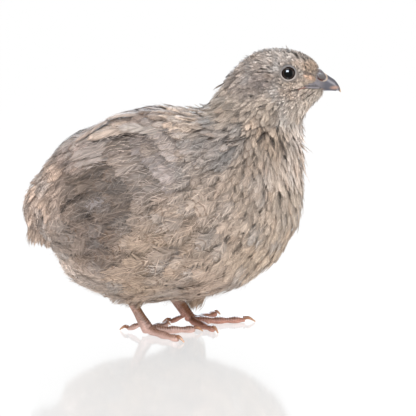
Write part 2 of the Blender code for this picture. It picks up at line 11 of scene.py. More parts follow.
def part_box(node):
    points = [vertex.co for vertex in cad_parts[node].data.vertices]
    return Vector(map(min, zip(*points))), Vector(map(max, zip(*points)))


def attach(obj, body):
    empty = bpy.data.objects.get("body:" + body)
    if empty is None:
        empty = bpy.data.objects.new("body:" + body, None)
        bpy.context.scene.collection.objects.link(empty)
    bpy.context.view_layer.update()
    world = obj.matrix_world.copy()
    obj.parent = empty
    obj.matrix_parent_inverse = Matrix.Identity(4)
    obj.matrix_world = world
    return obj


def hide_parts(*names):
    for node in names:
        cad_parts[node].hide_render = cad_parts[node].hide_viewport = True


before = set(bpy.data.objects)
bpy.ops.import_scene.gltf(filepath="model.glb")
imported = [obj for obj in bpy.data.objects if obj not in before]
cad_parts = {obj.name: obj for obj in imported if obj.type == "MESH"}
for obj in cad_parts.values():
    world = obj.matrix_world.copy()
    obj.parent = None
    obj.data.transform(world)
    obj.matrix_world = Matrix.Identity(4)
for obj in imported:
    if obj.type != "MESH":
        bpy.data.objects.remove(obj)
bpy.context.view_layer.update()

# Camera, floor and light
# A long lens a little above the bird, which stands on a white glossy sweep in a white studio.
# One soft lamp stands above the camera and one before the bird; two more are seen only as glints.

view_target = Vector((0.01296, 0, 0.0599))
view_distance = 0.9
view_rise = math.radians(11)

bpy.ops.object.select_all(action="DESELECT")
bpy.ops.object.camera_add(
    location=view_target + view_distance * Vector((0, -math.cos(view_rise), math.sin(view_rise))),
    rotation=(math.pi / 2 - view_rise, 0, 0),
)
camera = bpy.context.object
camera.data.sensor_width = 36
camera.data.lens = 162.26
camera.data.clip_start = 0.01
bpy.context.scene.camera = camera
bpy.context.scene.view_settings.view_transform = "Standard"


class Socket:
    """A shader socket that takes part in sums: each operator adds its Math node."""

    def __init__(self, tree, socket):
        self.tree = tree
        self.socket = socket

    def math(self, operation, first, second):
        return node(self.tree, "ShaderNodeMath", {"operation": operation}, [first, second])

    def __add__(self, other):
        return self.math("ADD", self, other)

    __radd__ = __add__

    def __mul__(self, other):
        return self.math("MULTIPLY", self, other)

    __rmul__ = __mul__

    def __sub__(self, other):
        return self.math("SUBTRACT", self, other)

    def __rsub__(self, other):
        return self.math("SUBTRACT", other, self)

    def step(self, low, high):
        """0 below low, 1 above high and smooth between them; with low above high, the other way round."""
        values = {"Value": self, "From Min": low, "From Max": high}
        return node(self.tree, "ShaderNodeMapRange", {"interpolation_type": "SMOOTHSTEP"}, values)


def node(tree, kind, settings=None, values=(), output=0):
    """Any shader node: its settings first, then the values or links of its sockets, by place or by name."""
    made = tree.nodes.new(kind)
    for name, value in (settings or {}).items():
        setattr(made, name, value)
    pairs = values.items() if isinstance(values, dict) else enumerate(values)
    for key, value in pairs:
        if isinstance(value, Socket):
            tree.links.new(value.socket, made.inputs[key])
        else:
            made.inputs[key].default_value = value
    return Socket(tree, made.outputs[output])


WHITE = (1, 1, 1, 1)
bpy.ops.mesh.primitive_plane_add(size=14)
floor = bpy.context.object
floor.name = "floor"
sweep = bpy.data.materials.new("white_sweep")
sweep.use_nodes = True
tree = sweep.node_tree
tree.nodes.clear()
glow = node(tree, "ShaderNodeEmission", {}, {"Color": WHITE, "Strength": 1.0})
gloss = node(tree, "ShaderNodeBsdfGlossy", {}, {"Color": WHITE, "Roughness": 0.1})
facing = node(tree, "ShaderNodeFresnel", {}, {"IOR": 1.85})
surface = node(tree, "ShaderNodeMixShader", {}, [facing, glow, gloss])
end = tree.nodes.new("ShaderNodeOutputMaterial")
tree.links.new(surface.socket, end.inputs["Surface"])
floor.data.materials.append(sweep)

world = bpy.data.worlds.new("studio")
world.use_nodes = True
world.node_tree.nodes["Background"].inputs["Color"].default_value = WHITE
world.node_tree.nodes["Background"].inputs["Strength"].default_value = 1.0
bpy.context.scene.world = world


def soft_lamp(name, place, width, watts, colour=(1, 1, 1)):
    """A square lamp that faces the bird."""
    bpy.ops.object.light_add(type="AREA", location=place)
    lamp = bpy.context.object
    lamp.name = name
    lamp.data.size = width
    lamp.data.energy = watts
    lamp.data.color = colour
    lamp.rotation_euler = (Vector((0, 0, 0.08)) - lamp.location).to_track_quat("-Z", "Y").to_euler()
    return lamp


# The bird's left is towards +Y. The camera looks along +Y and sees its right side.
SIDES = ((1, "left"), (-1, "right"))

soft_lamp("key_lamp", (0.00, -0.70, 1.05), width=0.6, watts=7.0)
soft_lamp("front_lamp", (0.85, -0.45, 0.30), width=0.5, watts=2.6)
for side, side_name in reversed(SIDES):
    place = (0.02, side * 0.80, 0.62)
    glint_lamp = soft_lamp(f"glint_lamp_{side_name}", place, width=0.40, watts=44.0, colour=(0.80, 0.90, 1.0))
    glint_lamp.data.shape = "RECTANGLE"
    glint_lamp.data.size_y = 0.28
    glint_lamp.visible_diffuse = False

# The skin
# The body under the feathers, one closed form from the rump to the bill, with a swell at each
# folded wing. It lies deeper under the long soft feathers of the body than under the head's.

# What the feathers of a part of the bird are like: length and width in millimetres, how many
# are pointed, how many are loose and downy, how much they differ in brightness, how strong
# their brown bars and their dark rims (a dark band with painted shadow at the edge) are, and
# how far their tips stand out.
Kind = namedtuple("Kind", "length width pointed loose vary bars rim lift")
KINDS = {
    "lore": Kind(1.8, 0.9, 0.5, 0.2, 0.28, 0.0, 0.6, 0.9),
    "face": Kind(2.3, 1.05, 0.5, 0.3, 0.46, 0.0, 0.8, 1.0),
    "ear": Kind(4.0, 2.0, 0.2, 0.5, 0.30, 0.0, 0.5, 1.0),
    "crown": Kind(3.1, 1.6, 0.2, 0.4, 0.33, 0.1, 0.9, 1.3),
    "nape": Kind(6.0, 2.7, 0.5, 0.4, 0.42, 0.2, 0.9, 1.55),
    "throat": Kind(6.5, 2.3, 0.8, 0.3, 0.17, 0.0, 0.2, 1.45),
    "ruff": Kind(9.5, 2.9, 0.9, 0.1, 0.12, 0.0, 0.8, 1.25),
    "hackle": Kind(10.0, 4.0, 0.5, 0.4, 0.14, 0.1, 0.6, 1.1),
    "breast": Kind(9.5, 4.8, 0.4, 0.05, 0.08, 0.2, 0.65, 1.0),
    "back": Kind(10.0, 5.6, 0.15, 0.1, 0.24, 0.7, 0.9, 0.9),
    "side": Kind(14.0, 8.8, 0.25, 0.3, 0.11, 0.8, 0.35, 0.9),
    "flank": Kind(16.5, 10.6, 0.25, 0.35, 0.11, 1.0, 0.35, 0.9),
    "rump": Kind(7.2, 3.4, 0.2, 0.4, 0.35, 1.0, 0.8, 0.95),
    "fluff": Kind(12.0, 8.0, 0.2, 0.9, 0.09, 0.3, 0.3, 1.0),
    "ruffled": Kind(12.0, 7.4, 0.3, 0.5, 0.17, 0.5, 0.5, 1.1),
}

# Each zone is a place on the bird's side in millimetres, the way its feathers point (0 is
# forward, 90 up, 180 back), and the kind and colour of its feathers.
Zone = namedtuple("Zone", "x z lie kind colour")
ZONES = {
    "forehead": Zone(60, 129, 150, "face", (160, 142, 127)),
    "brow": Zone(50, 131.5, 160, "crown", (163, 154, 147)),
    "crown": Zone(46, 135, 178, "crown", (166, 157, 150)),
    "back_of_crown": Zone(33, 130, 202, "crown", (163, 149, 139)),
    "lore": Zone(60, 122, 186, "lore", (169, 151, 135)),
    "cheek": Zone(53, 118, 205, "face", (163, 148, 136)),
    "ear": Zone(36.5, 122, 202, "ear", (120, 109, 102)),
    "chin": Zone(61, 114, 215, "face", (188, 174, 161)),
    "throat": Zone(56, 106, 240, "throat", (181, 167, 154)),
    "nape": Zone(28, 124, 225, "nape", (149, 135, 125)),
    "neck_side": Zone(40, 108, 238, "nape", (171, 155, 140)),
    "lower_throat": Zone(56, 97, 258, "throat", (222, 209, 199)),
    "ruff": Zone(42, 94, 254, "ruff", (159, 140, 123)),
    "hackle": Zone(20, 110, 206, "hackle", (162, 148, 135)),
    "mantle": Zone(2, 108, 188, "back", (188, 168, 151)),
    "shoulder": Zone(15, 94, 212, "hackle", (145, 135, 128)),
    "back": Zone(-20, 106, 190, "back", (139, 121, 110)),
    "rump": Zone(-48, 97, 205, "rump", (147, 129, 121)),
    "rump_end": Zone(-69, 70, 238, "rump", (192, 169, 153)),
    "tail_coverts": Zone(-72, 58, 257, "rump", (176, 154, 139)),
    "upper_breast": Zone(52, 82, 262, "ruff", (191, 174, 160)),
    "breast": Zone(51, 65, 255, "breast", (168, 152, 137)),
    "low_breast": Zone(40, 43, 235, "breast", (168, 148, 129)),
    "breast_side": Zone(31, 76, 235, "breast", (152, 135, 120)),
    "side": Zone(16, 70, 218, "side", (158, 141, 127)),
    "flank": Zone(-8, 51, 200, "flank", (156, 135, 117)),
    "rear_flank": Zone(-39, 51, 192, "flank", (114, 98, 88)),
    "low_flank": Zone(-17, 30, 188, "flank", (164, 141, 121)),
    "belly": Zone(14, 20, 180, "flank", (167, 145, 128)),
    "mid_belly": Zone(-20, 15, 180, "fluff", (158, 136, 119)),
    "vent": Zone(-52, 35, 190, "fluff", (193, 175, 162)),
    "above_vent": Zone(-47, 45, 190, "fluff", (134, 115, 101)),
    "under_tail": Zone(-65, 41, 205, "fluff", (170, 151, 137)),
    "wing": Zone(-34, 75, 202, "ruffled", (101, 89, 81)),
    "wing_front": Zone(-10, 85, 205, "ruffled", (145, 131, 121)),
    "scapular": Zone(-30, 98, 185, "back", (184, 163, 148)),
}
# How softly one zone passes into the next, in metres
ZONE_BLUR = 0.004
zone_places = np.array([(zone.x, zone.z) for zone in ZONES.values()]) / 1000


def zone_mix(points, values):
    """Values given for each zone, blended at points of the bird by how near each zone is."""
    away = ((points[:, None, [0, 2]] - zone_places[None]) ** 2).sum(2)
    weight = 1 / (away + ZONE_BLUR**2) ** 2
    weight /= weight.sum(1, keepdims=True)
    return weight @ np.array(values, float)


def of_kind(points, trait):
    """One trait of the feathers at points of the bird."""
    return zone_mix(points, [getattr(KINDS[zone.kind], trait) for zone in ZONES.values()])


def speckle(points, scale, seed):
    """Smooth chance from about -1 to 1 at each point, in patches as wide as scale."""
    shift = Vector((seed * 7.1, seed * 3.7, seed * 5.3))
    return np.array([noise.noise(Vector(point) / scale + shift) for point in points]) * 1.6


# Where feathers part: dark flecks, dark feather edges and dark down, with painted shadow in the
# gap. From (x, z), to (x, z) and width, in tenths of a millimetre
PARTINGS = np.array((
    (-430, 939, -323, 968, 6), (-323, 968, -272, 981, 5), (-272, 981, -146, 977, 5),
    (199, 952, 318, 975, 10), (353, 953, 392, 988, 12), (461, 967, 499, 882, 8),
    (418, 975, 442, 915, 7), (-559, 622, -531, 669, 10), (-531, 669, -424, 740, 10),
    (-471, 787, -417, 807, 8), (-22, 749, 65, 754, 5), (-128, 687, -82, 691, 5),
    (-360, 585, -306, 604, 6), (-433, 632, -419, 607, 12), (-180, 860, -136, 848, 5),
    (19, 898, 24, 864, 4), (84, 563, 134, 537, 4), (106, 472, 153, 455, 4),
    (204, 507, 222, 535, 6), (116, 357, 134, 388, 5), (290, 540, 300, 552, 6),
    (167, 397, 190, 427, 4), (371, 1282, 404, 1278, 5), (409, 1292, 415, 1288, 4),
    (323, 1162, 343, 1155, 8), (356, 1108, 400, 1118, 6), (537, 1347, 557, 1325, 6),
    (575, 1325, 590, 1316, 4), (500, 1357, 512, 1352, 4), (576, 1133, 639, 1175, 3),
    (564, 1153, 604, 1180, 3), (502, 1179, 533, 1181, 3), (533, 1181, 560, 1187, 3),
    (582, 1196, 626, 1207, 3), (626, 1207, 645, 1199, 3), (353, 1265, 392, 1268, 4),
    (392, 1268, 431, 1260, 3), (430, 1107, 433, 1091, 4), (457, 1124, 455, 1113, 3),
    (583, 1301, 591, 1270, 4), (-472, 978, -403, 1003, 4), (-403, 1003, -328, 1016, 4),
    (-101, 1011, -37, 991, 4), (10, 977, 24, 952, 4),
)) / 10000


def off_line(spots, start, end):
    """How far along a line each spot lies, from 0 to 1, and how far away from it."""
    along = end - start
    share = np.clip(((spots - start) @ along) / (along @ along), 0, 1)
    return share, np.linalg.norm(spots - start - share[:, None] * along, axis=1)


def parting_shade(points):
    """How dark a parting, with its painted shadow, makes each point: 0 away from all of them, 1 in the middle
    of one.
    """
    shade = np.zeros(len(points))
    for row in PARTINGS:
        share, away = off_line(points[:, [0, 2]], row[0:2], row[2:4])
        thin = row[4] * (1.15 - np.abs(share - 0.5) * 1.2)
        shade = np.maximum(shade, np.clip(1.4 - away / thin, 0, 1))
    return shade


def linear(red, green, blue):
    """A colour as a picker shows it, from 0 to 255, in the renderer's own scale."""
    return np.array([((c / 255 + 0.055) / 1.055) ** 2.4 for c in (red, green, blue)])


def blend_in(colour, share, other):
    """Colours with another one mixed in, as strongly as share says."""
    share = np.clip(share, 0, 1)[:, None]
    return colour * (1 - share) + linear(*other) * share


# Patches of another colour: place (x, z) and half length and width in millimetres, the tilt in
# degrees of the length from level, colour and strength
Patch = namedtuple("Patch", "x z length width tilt colour strength")
PATCHES = (
    Patch(60.9, 128.3, 3.4, 2.3, -30, (180, 153, 129), 0.5),
    Patch(60.6, 125.2, 3.4, 0.6, -24, (112, 98, 90), 0.85),
    Patch(56.5, 125.3, 1.2, 2.2, 20, (150, 141, 134), 0.7),
    Patch(61.0, 123.6, 2.9, 1.0, -24, (200, 166, 142), 0.8),
    Patch(51.4, 120.7, 4.0, 0.9, -4, (192, 173, 156), 0.6),
    Patch(38.0, 121.4, 4.4, 2.8, 0, (122, 110, 104), 0.7),
    Patch(36.6, 130.8, 1.8, 0.7, -10, (198, 188, 180), 0.7),
    Patch(-20.7, 69.7, 2.6, 2.2, 30, (98, 80, 68), 0.7),
    Patch(-28.0, 74.0, 5.0, 2.6, 25, (100, 88, 80), 0.5),
    Patch(-36.0, 69.0, 5.0, 3.0, 20, (140, 132, 130), 0.5),
    Patch(-33.0, 88.0, 8.0, 2.6, 12, (150, 139, 135), 0.6),
)
WARM_TINT = linear(205, 165, 132)


def patchy(points, width, rarity, strength, seed):
    """How strongly each point takes the tint of chance patches."""
    return np.clip(speckle(points, width, seed) - rarity, 0, 1)[:, None] * strength


def plumage_colour(points):
    """The colour of the coat at points of the bird."""
    colour = zone_mix(points, [linear(*zone.colour) for zone in ZONES.values()])
    warm = patchy(points, width=0.0045, rarity=0.25, strength=0.32, seed=3)
    colour = colour * (1 - warm) + WARM_TINT * warm * (colour.mean(1) / WARM_TINT.mean())[:, None]
    cool = patchy(points, width=0.009, rarity=0.1, strength=0.5, seed=6)
    colour = colour * (1 - cool) + colour.mean(1, keepdims=True) * cool
    for patch in PATCHES:
        rel = points[:, [0, 2]] * 1000 - (patch.x, patch.z)
        turn = math.radians(patch.tilt)
        along = rel @ (math.cos(turn), math.sin(turn)) / patch.length
        across = rel @ (-math.sin(turn), math.cos(turn)) / patch.width
        share = patch.strength * np.clip(1.8 - np.hypot(along, across) * 1.3, 0, 1)
        colour = blend_in(colour, share, patch.colour)
    return colour * (1 + 0.13 * speckle(points, 0.011, 2) + 0.07 * speckle(points, 0.004, 1))[:, None]


def mesh_arrays(obj):
    """An object's points, normals and triangles."""
    mesh = obj.data
    mesh.calc_loop_triangles()
    points = np.empty(len(mesh.vertices) * 3, np.float32)
    mesh.vertices.foreach_get("co", points)
    normals = np.empty(len(mesh.vertices) * 3, np.float32)
    mesh.vertices.foreach_get("normal", normals)
    corners = np.empty(len(mesh.loop_triangles) * 3, np.int32)
    mesh.loop_triangles.foreach_get("vertices", corners)
    return points.reshape(-1, 3).astype(float), normals.reshape(-1, 3).astype(float), corners.reshape(-1, 3)


def put_back(obj, points):
    """Gives a mesh its points again after they have been moved."""
    obj.data.vertices.foreach_set("co", points.astype(np.float32).ravel())
    obj.data.update()


def paint_points(obj, name, values):
    """Keeps a colour or three numbers at each point of a mesh, for its material to read."""
    wide = np.column_stack([values, np.ones(len(values))])
    layer = obj.data.color_attributes.new(name, "FLOAT_COLOR", "POINT")
    layer.data.foreach_set("color", wide.astype(np.float32).ravel())


def join_into(target, *others):
    """Makes other objects part of one."""
    bpy.ops.object.select_all(action="DESELECT")
    for obj in (*others, target):
        obj.select_set(True)
    bpy.context.view_layer.objects.active = target
    bpy.ops.object.join()


def joined_copy(name, node_names):
    """One mesh of copies of CAD nodes, with their loose triangles merged."""
    copies = []
    for node_name in node_names:
        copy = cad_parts[node_name].copy()
        copy.data = copy.data.copy()
        copy.parent = None
        bpy.context.scene.collection.objects.link(copy)
        copies.append(copy)
    join_into(copies[-1], *copies[:-1])
    made = bpy.context.object
    made.name = name
    for key in list(made.keys()):
        del made[key]
    bpy.ops.object.mode_set(mode="EDIT")
    bpy.ops.mesh.select_all(action="SELECT")
    bpy.ops.mesh.remove_doubles(threshold=0.00001)
    bpy.ops.object.mode_set(mode="OBJECT")
    made.data.materials.clear()
    return made


def shape_by(obj, kind, **settings):
    """Puts a modifier on an object and applies it."""
    bpy.context.view_layer.objects.active = obj
    modifier = obj.modifiers.new(kind.lower(), kind)
    for name, value in settings.items():
        setattr(modifier, name, value)
    bpy.ops.object.modifier_apply(modifier=modifier.name)


def remesh_and_soften(obj, voxel, factor, rounds):
    """Makes one even surface of all that obj holds, and softens it."""
    shape_by(obj, "REMESH", mode="VOXEL", voxel_size=voxel)
    shape_by(obj, "SMOOTH", factor=factor, iterations=rounds)
    bpy.ops.object.shade_smooth()


skin = joined_copy("skin", ("torso", "neck", "head", "thigh_left", "thigh_right", "eye_left", "eye_right"))
bpy.ops.object.select_all(action="DESELECT")
bpy.ops.mesh.primitive_uv_sphere_add(segments=32, ring_count=20, radius=1, location=(-0.0672, 0, 0.0575))
tail_root = bpy.context.object
tail_root.scale = (0.0072, 0.0125, 0.0140)
join_into(skin, tail_root)
remesh_and_soften(skin, voxel=0.0010, factor=0.6, rounds=12)

# How deep the coat is on the body and on the head
BODY_DEPTH, HEAD_DEPTH = 0.0026, 0.0009
# The folded wing: its middle (x, z), how far its line falls to the back, and how far it swells
WING_MIDDLE, WING_SLOPE = (-0.0240, 0.0840), math.radians(20)
WING_HALF_LENGTH, WING_HALF_DEPTH, WING_SWELL = 0.0390, 0.0200, 0.0030


def head_share(points):
    """From 0 on the body to 1 on the head."""
    return np.clip((points[:, 2] + 0.35 * (points[:, 0] - 0.045) - 0.098) / 0.016, 0, 1)


def coat_depth(points):
    """How deep the coat is from the skin out to the solids' surface."""
    return BODY_DEPTH + (HEAD_DEPTH - BODY_DEPTH) * head_share(points)


def wing_place(points):
    """Places on the bird's side as along the folded wing, backwards, and up, square to that."""
    x, z = points[:, 0] - WING_MIDDLE[0], points[:, 2] - WING_MIDDLE[1]
    back, down = math.cos(WING_SLOPE), math.sin(WING_SLOPE)
    return -x * back - z * down, z * back - x * down


def in_wing(points):
    """1 in the middle of a folded wing, falling to 0 at its edge."""
    along, up = wing_place(points)
    return np.clip(1 - (along / WING_HALF_LENGTH) ** 2 - (up / WING_HALF_DEPTH) ** 2, 0, 1)


# Where the coat stands fuller or closer than the body under it: place (x, z), radius and height,
# in tenths of a millimetre
FULLNESS = np.array((
    (100, 1120, 100, -22), (-450, 1030, 110, -26), (-120, 1110, 120, 12),
    (-720, 700, 140, 16), (-630, 370, 100, -28), (-470, 220, 60, -8),
    (-740, 600, 90, 14), (280, 240, 100, 11), (160, 150, 90, 9),
    (580, 600, 120, 13), (530, 430, 70, -16), (660, 1150, 50, 7),
    (640, 1300, 60, 15), (620, 1100, 80, 7),
)) / 10000

# The edge of the feathers round the bill and along the mouth: z, and x there
BARE_EDGE = (
    (0.1155, 0.1170, 0.1190, 0.1192, 0.1199, 0.1208, 0.1213, 0.1223, 0.1237, 0.1250, 0.1271, 0.1290),
    (0.0690, 0.0681, 0.0645, 0.0606, 0.0582, 0.0596, 0.0620, 0.0637, 0.0639, 0.0646, 0.0657, 0.0668),
)
# The line where the jaws meet at the bare rim: x, and z there
MOUTH_LINE = ((0.0582, 0.0626, 0.0645, 0.0682), (0.1196, 0.1207, 0.1199, 0.1179))


def bill_base(points):
    """How far in front of the feathers' edge each point lies, in metres."""
    return points[:, 0] - np.interp(points[:, 2], *BARE_EDGE)


def lips(points):
    """1 on the bare rim of the upper jaw, before the feathers' edge, and 0 elsewhere."""
    bare = np.clip(bill_base(points) / 0.0006, 0, 1) * np.clip((0.1226 - points[:, 2]) / 0.0008, 0, 1)
    return bare * (points[:, 2] > 0.1185)


def fullness(points):
    """How far out of the body's own form the coat stands at each point."""
    total = np.zeros(len(points))
    for x, z, radius, height in FULLNESS:
        away = np.linalg.norm(points[:, [0, 2]] - (x, z), axis=1)
        total += height * np.exp(-((away / radius) ** 2) * 1.5)
    return total


points, normals, _ = mesh_arrays(skin)
depth = coat_depth(points) - 0.0006 * lips(points)
swell = WING_SWELL * in_wing(points) ** 0.6 * np.clip((np.abs(points[:, 1]) - 0.020) / 0.010, 0, 1)
points += normals * (swell - depth + fullness(points))[:, None]
put_back(skin, points)
# The partings darken the skin: painted shadow where the coat parts over it
dark = 1 - 0.8 * parting_shade(points)
bare = np.clip(bill_base(points) / 0.0004 + 0.5, 0, 1)[:, None]
tints = plumage_colour(points) * (0.7 * dark)[:, None]
under_lip = np.clip((np.interp(points[:, 0], *MOUTH_LINE) - points[:, 2]) / 0.0006, 0, 1)[:, None]
rim_colour = linear(120, 114, 117) * (1 - 0.6 * under_lip)
paint_points(skin, "Tint", tints * (1 - bare) + rim_colour * bare)


def new_material(name, roughness, gloss, sheen=0.0):
    """A Principled material, its node tree and its shader."""
    made = bpy.data.materials.new(name)
    made.use_nodes = True
    shader = made.node_tree.nodes["Principled BSDF"]
    shader.inputs["Roughness"].default_value = roughness
    shader.inputs["Specular IOR Level"].default_value = gloss
    shader.inputs["Sheen Weight"].default_value = sheen
    return made, made.node_tree, shader


def link(source, shader, key):
    """Feeds one of a shader's sockets."""
    source.tree.links.new(source.socket, shader.inputs[key])


def scaled(colour, brightness):
    """A colour made brighter or darker."""
    values = {0: colour, "Scale": brightness}
    return node(brightness.tree, "ShaderNodeVectorMath", {"operation": "SCALE"}, values)


def painted_colour(tree):
    """The colour that paint_points kept as Tint."""
    return node(tree, "ShaderNodeAttribute", {"attribute_name": "Tint"})


def clouds(tree, scale, detail, **place):
    """Noise in patches, over the object or over the Vector given."""
    values = {"Scale": scale, "Detail": detail, **place}
    return node(tree, "ShaderNodeTexNoise", {}, values)


def relief(shader, height, strength, distance):
    """Raises fine relief on a surface."""
    values = {"Strength": strength, "Distance": distance, "Height": height}
    link(node(height.tree, "ShaderNodeBump", {}, values), shader, "Normal")


def dress(obj, material):
    """Gives a piece its material and slot, and rides it on the one body of the bird."""
    obj.data.materials.clear()
    obj.data.materials.append(material)
    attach(obj, "root")


down, tree, shader = new_material("down", roughness=0.9, gloss=0.2)
fluff = clouds(tree, scale=900.0, detail=3.0)
link(scaled(painted_colour(tree), fluff.step(0.2, 0.9) + 0.5), shader, "Base Color")
relief(shader, fluff, strength=0.6, distance=0.0004)
dress(skin, down)
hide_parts("torso", "neck", "head", "thigh_left", "thigh_right")

# Body feathers
# Each is a real vane: a shaft, and barbs on both sides that hold together most of the way out.
# They spring from the skin, lie back along it and overlap like tiles.

skin_points, _, skin_corners = mesh_arrays(skin)
skin_tree = BVHTree.FromPolygons([tuple(p) for p in skin_points], [tuple(map(int, c)) for c in skin_corners])

Vane = namedtuple("Vane", "spots corners out shaft")


def round_outline(along):
    """Half of a body feather's width at a share of its length: widest beyond the middle, round at the tip."""
    tip = np.clip((along - 0.62) / 0.38, 0, 1)
    return np.where(along < 0.62, (along / 0.62) ** 0.6, np.sqrt(np.clip(1 - tip**2.6, 0, 1)))


def pointed_outline(along):
    """Half of a neck feather's width: widest near its middle, and pointed."""
    return np.where(along < 0.42, (along / 0.42) ** 0.6, np.clip((1 - along) / 0.58, 0, 1) ** 0.7)


def flight_outline(along):
    """Half of a wing or tail feather's width: nearly even, round at the tip."""
    tip = np.clip((along - 0.70) / 0.30, 0, 1)
    return np.clip(along / 0.14, 0, 1) ** 0.5 * np.sqrt(np.clip(1 - tip**2.2, 0, 1))


def make_vane(barbs, outline, hold, ragged, split, draw):
    """One feather, 1 long and 1 wide to each side. hold is how far out its barbs stay together."""
    spots, corners, out, shaft = [], [], [], []
    share = (np.arange(barbs) + 0.5) / barbs
    starts = 0.02 + 0.93 * share**1.25
    even_ends = 1 - 0.82 * (1 - share) ** 1.6
    for side in (-1, 1):
        ends = even_ends + ragged * 0.35 * draw.normal(size=barbs)
        reach = outline(np.clip(even_ends, 0, 0.998)) * (1 + ragged * draw.normal(size=barbs))
        reach = np.maximum(reach, 0.03)
        held_x = reach * hold
        held_y = starts + (ends - starts) * hold**1.4
        rise = ragged * 0.5 * draw.normal(size=barbs)
        together = draw.random(barbs + 1) > split

        def edge(values, k, near):
            """Where a barb meets the next: midway where they hold together, nearer itself where they part."""
            other = k + near
            if not 0 <= other < barbs:
                return values[k] + 0.5 * (values[k] - values[k - near])
            joined = together[k + (near > 0)]
            return values[k] + (0.5 if joined else 0.22) * (values[other] - values[k])

        for k in range(barbs):
            first = len(spots)
            low_start = starts[k] + (starts[max(k - 1, 0)] - starts[k]) / 2
            high_start = starts[k] + (starts[min(k + 1, barbs - 1)] - starts[k]) / 2
            spots += [
                (0, low_start, 0),
                (0, high_start, 0),
                (side * edge(held_x, k, 1), edge(held_y, k, 1), rise[k] * 0.5),
                (side * edge(held_x, k, -1), edge(held_y, k, -1), rise[k] * 0.5 - 0.02),
                (side * reach[k], ends[k], rise[k] - 0.03),
            ]
            out += [0, 0, hold, hold, 1]
            shaft += [0] * 5
            for face in ((0, 1, 2), (0, 2, 3), (3, 2, 4)):
                corners.append(tuple(first + c for c in (face if side < 0 else face[::-1])))
    first = len(spots)
    for k, along in enumerate((0.0, 0.35, 0.68, 0.95)):
        wide = 0.07 * (1 - 0.8 * along)
        for x in (-wide, wide):
            spots.append((x, along, 0.05 * (1 - along) + 0.01))
            out.append(0)
            shaft.append(1)
        if k:
            a = first + 2 * k - 2
            corners += [(a, a + 1, a + 3), (a, a + 3, a + 2)]
    return Vane(np.array(spots), np.array(corners), np.array(out), np.array(shaft))


def vane_set(copies, *kinds):
    """A few copies of each kind of vane, no two of them quite the same."""
    return [make_vane(*kind, vane_draw) for kind in kinds for _ in range(copies)]


def unit(vectors):
    return vectors / np.maximum(np.linalg.norm(vectors, axis=1, keepdims=True), 1e-12)


def square_to(vectors, ways):
    """Unit vectors with the part along other unit vectors taken out."""
    return unit(vectors - (vectors * ways).sum(1, keepdims=True) * ways)


def nearest(points):
    """The nearest places on the skin, and the ways out there."""
    found = [skin_tree.find_nearest(Vector(p)) for p in points]
    return np.array([f[0] for f in found]), np.array([f[1] for f in found])


def scatter(spacing, wanted, seed):
    """Roots spread evenly over the skin where wanted holds, as far apart as spacing says."""
    draw = np.random.default_rng(seed)
    a, b, c = (skin_points[skin_corners[:, k]] for k in range(3))
    areas = np.linalg.norm(np.cross(b - a, c - a), axis=1) / 2
    middles = (a + b + c) / 3
    density = np.where(wanted(middles), areas / spacing(middles) ** 2, 0)
    count = int(density.sum() * 5)
    picked = draw.choice(len(areas), count, p=density / density.sum())
    u, v = draw.random(count), draw.random(count)
    over = u + v > 1
    u[over], v[over] = 1 - u[over], 1 - v[over]
    spots = a[picked] + (b - a)[picked] * u[:, None] + (c - a)[picked] * v[:, None]
    gaps = spacing(spots)
    tree = KDTree(count)
    for k, spot in enumerate(spots):
        tree.insert(spot, k)
    tree.balance()
    free = np.ones(count, bool)
    kept = []
    for k in range(count):
        if free[k]:
            kept.append(k)
            for _, other, _ in tree.find_range(spots[k], gaps[k]):
                free[other] = False
    return spots[kept]


# The middle line of the bird from tail to bill (x, z)
SPINE = np.array([(-0.075, 0.062), (-0.02, 0.062), (0.025, 0.075), (0.045, 0.110), (0.066, 0.122)])


def skin_map(points):
    """A place on an unwrap of the bird's own form for each point: along the body, and round it."""
    legs = np.diff(SPINE, axis=0)
    spans = np.linalg.norm(legs, axis=1)
    done = np.concatenate([[0], np.cumsum(spans)])
    best = np.full(len(points), np.inf)
    along, turn = np.zeros(len(points)), np.zeros(len(points))
    for k, leg in enumerate(legs):
        rel = points[:, [0, 2]] - SPINE[k]
        share = np.clip(rel @ leg / spans[k] ** 2, 0, 1)
        off = rel - share[:, None] * leg
        side = off @ np.array([-leg[1], leg[0]]) / spans[k]
        better = np.linalg.norm(off, axis=1) < best
        best = np.where(better, np.linalg.norm(off, axis=1), best)
        along = np.where(better, done[k] + share * spans[k], along)
        turn = np.where(better, np.arctan2(points[:, 1], side), turn)
    return np.column_stack([0.03 + 0.94 * along / done[-1], 0.03 + 0.94 * (turn / math.tau + 0.5)])


# How big a feather is on the unwrap, and the most triangles that one piece may have
PATCH = 0.003
MOST_TRIANGLES = 190_000


def mesh_piece(name, spots, corners, paints, patches, material):
    """A piece from arrays of points, triangles, numbers kept at its points and places on its unwrap."""
    mesh = bpy.data.meshes.new(name)
    mesh.vertices.add(len(spots))
    mesh.vertices.foreach_set("co", spots.astype(np.float32).ravel())
    mesh.loops.add(len(corners) * 3)
    mesh.loops.foreach_set("vertex_index", corners.astype(np.int32).ravel())
    mesh.polygons.add(len(corners))
    mesh.polygons.foreach_set("loop_start", np.arange(len(corners), dtype=np.int32) * 3)
    mesh.update(calc_edges=True)
    piece = bpy.data.objects.new(name, mesh)
    bpy.context.scene.collection.objects.link(piece)
    for layer, values in paints.items():
        paint_points(piece, layer, values)
    bake = mesh.uv_layers.new(name="OFBake")
    bake.data.foreach_set("uv", patches[corners.ravel()].astype(np.float32).ravel())
    dress(piece, material)
    return piece


# Feathers ready to be made: where each begins and ends, the ways out from the bird there, width,
# colour, strength of its bars and rim, the vane it is a copy of, and how far they all bow out
Feathers = namedtuple("Feathers", "starts ends start_out end_out widths colours bars rims vanes bow")


def all_together(lots):
    """Several lots of feathers of the same bow as one lot."""
    joined = (np.concatenate([getattr(lot, field) for lot in lots]) for field in Feathers._fields[:-1])
    return Feathers(*joined, lots[0].bow)


# The root end of a feather, under its neighbours, is darker; some shafts are pale; and what lies
# in a parting is darkened by painted shadow
BURIED_SHADE, SHAFT_GLEAM, PARTING_PAINTED_SHADE = 0.74, 0.60, 0.65


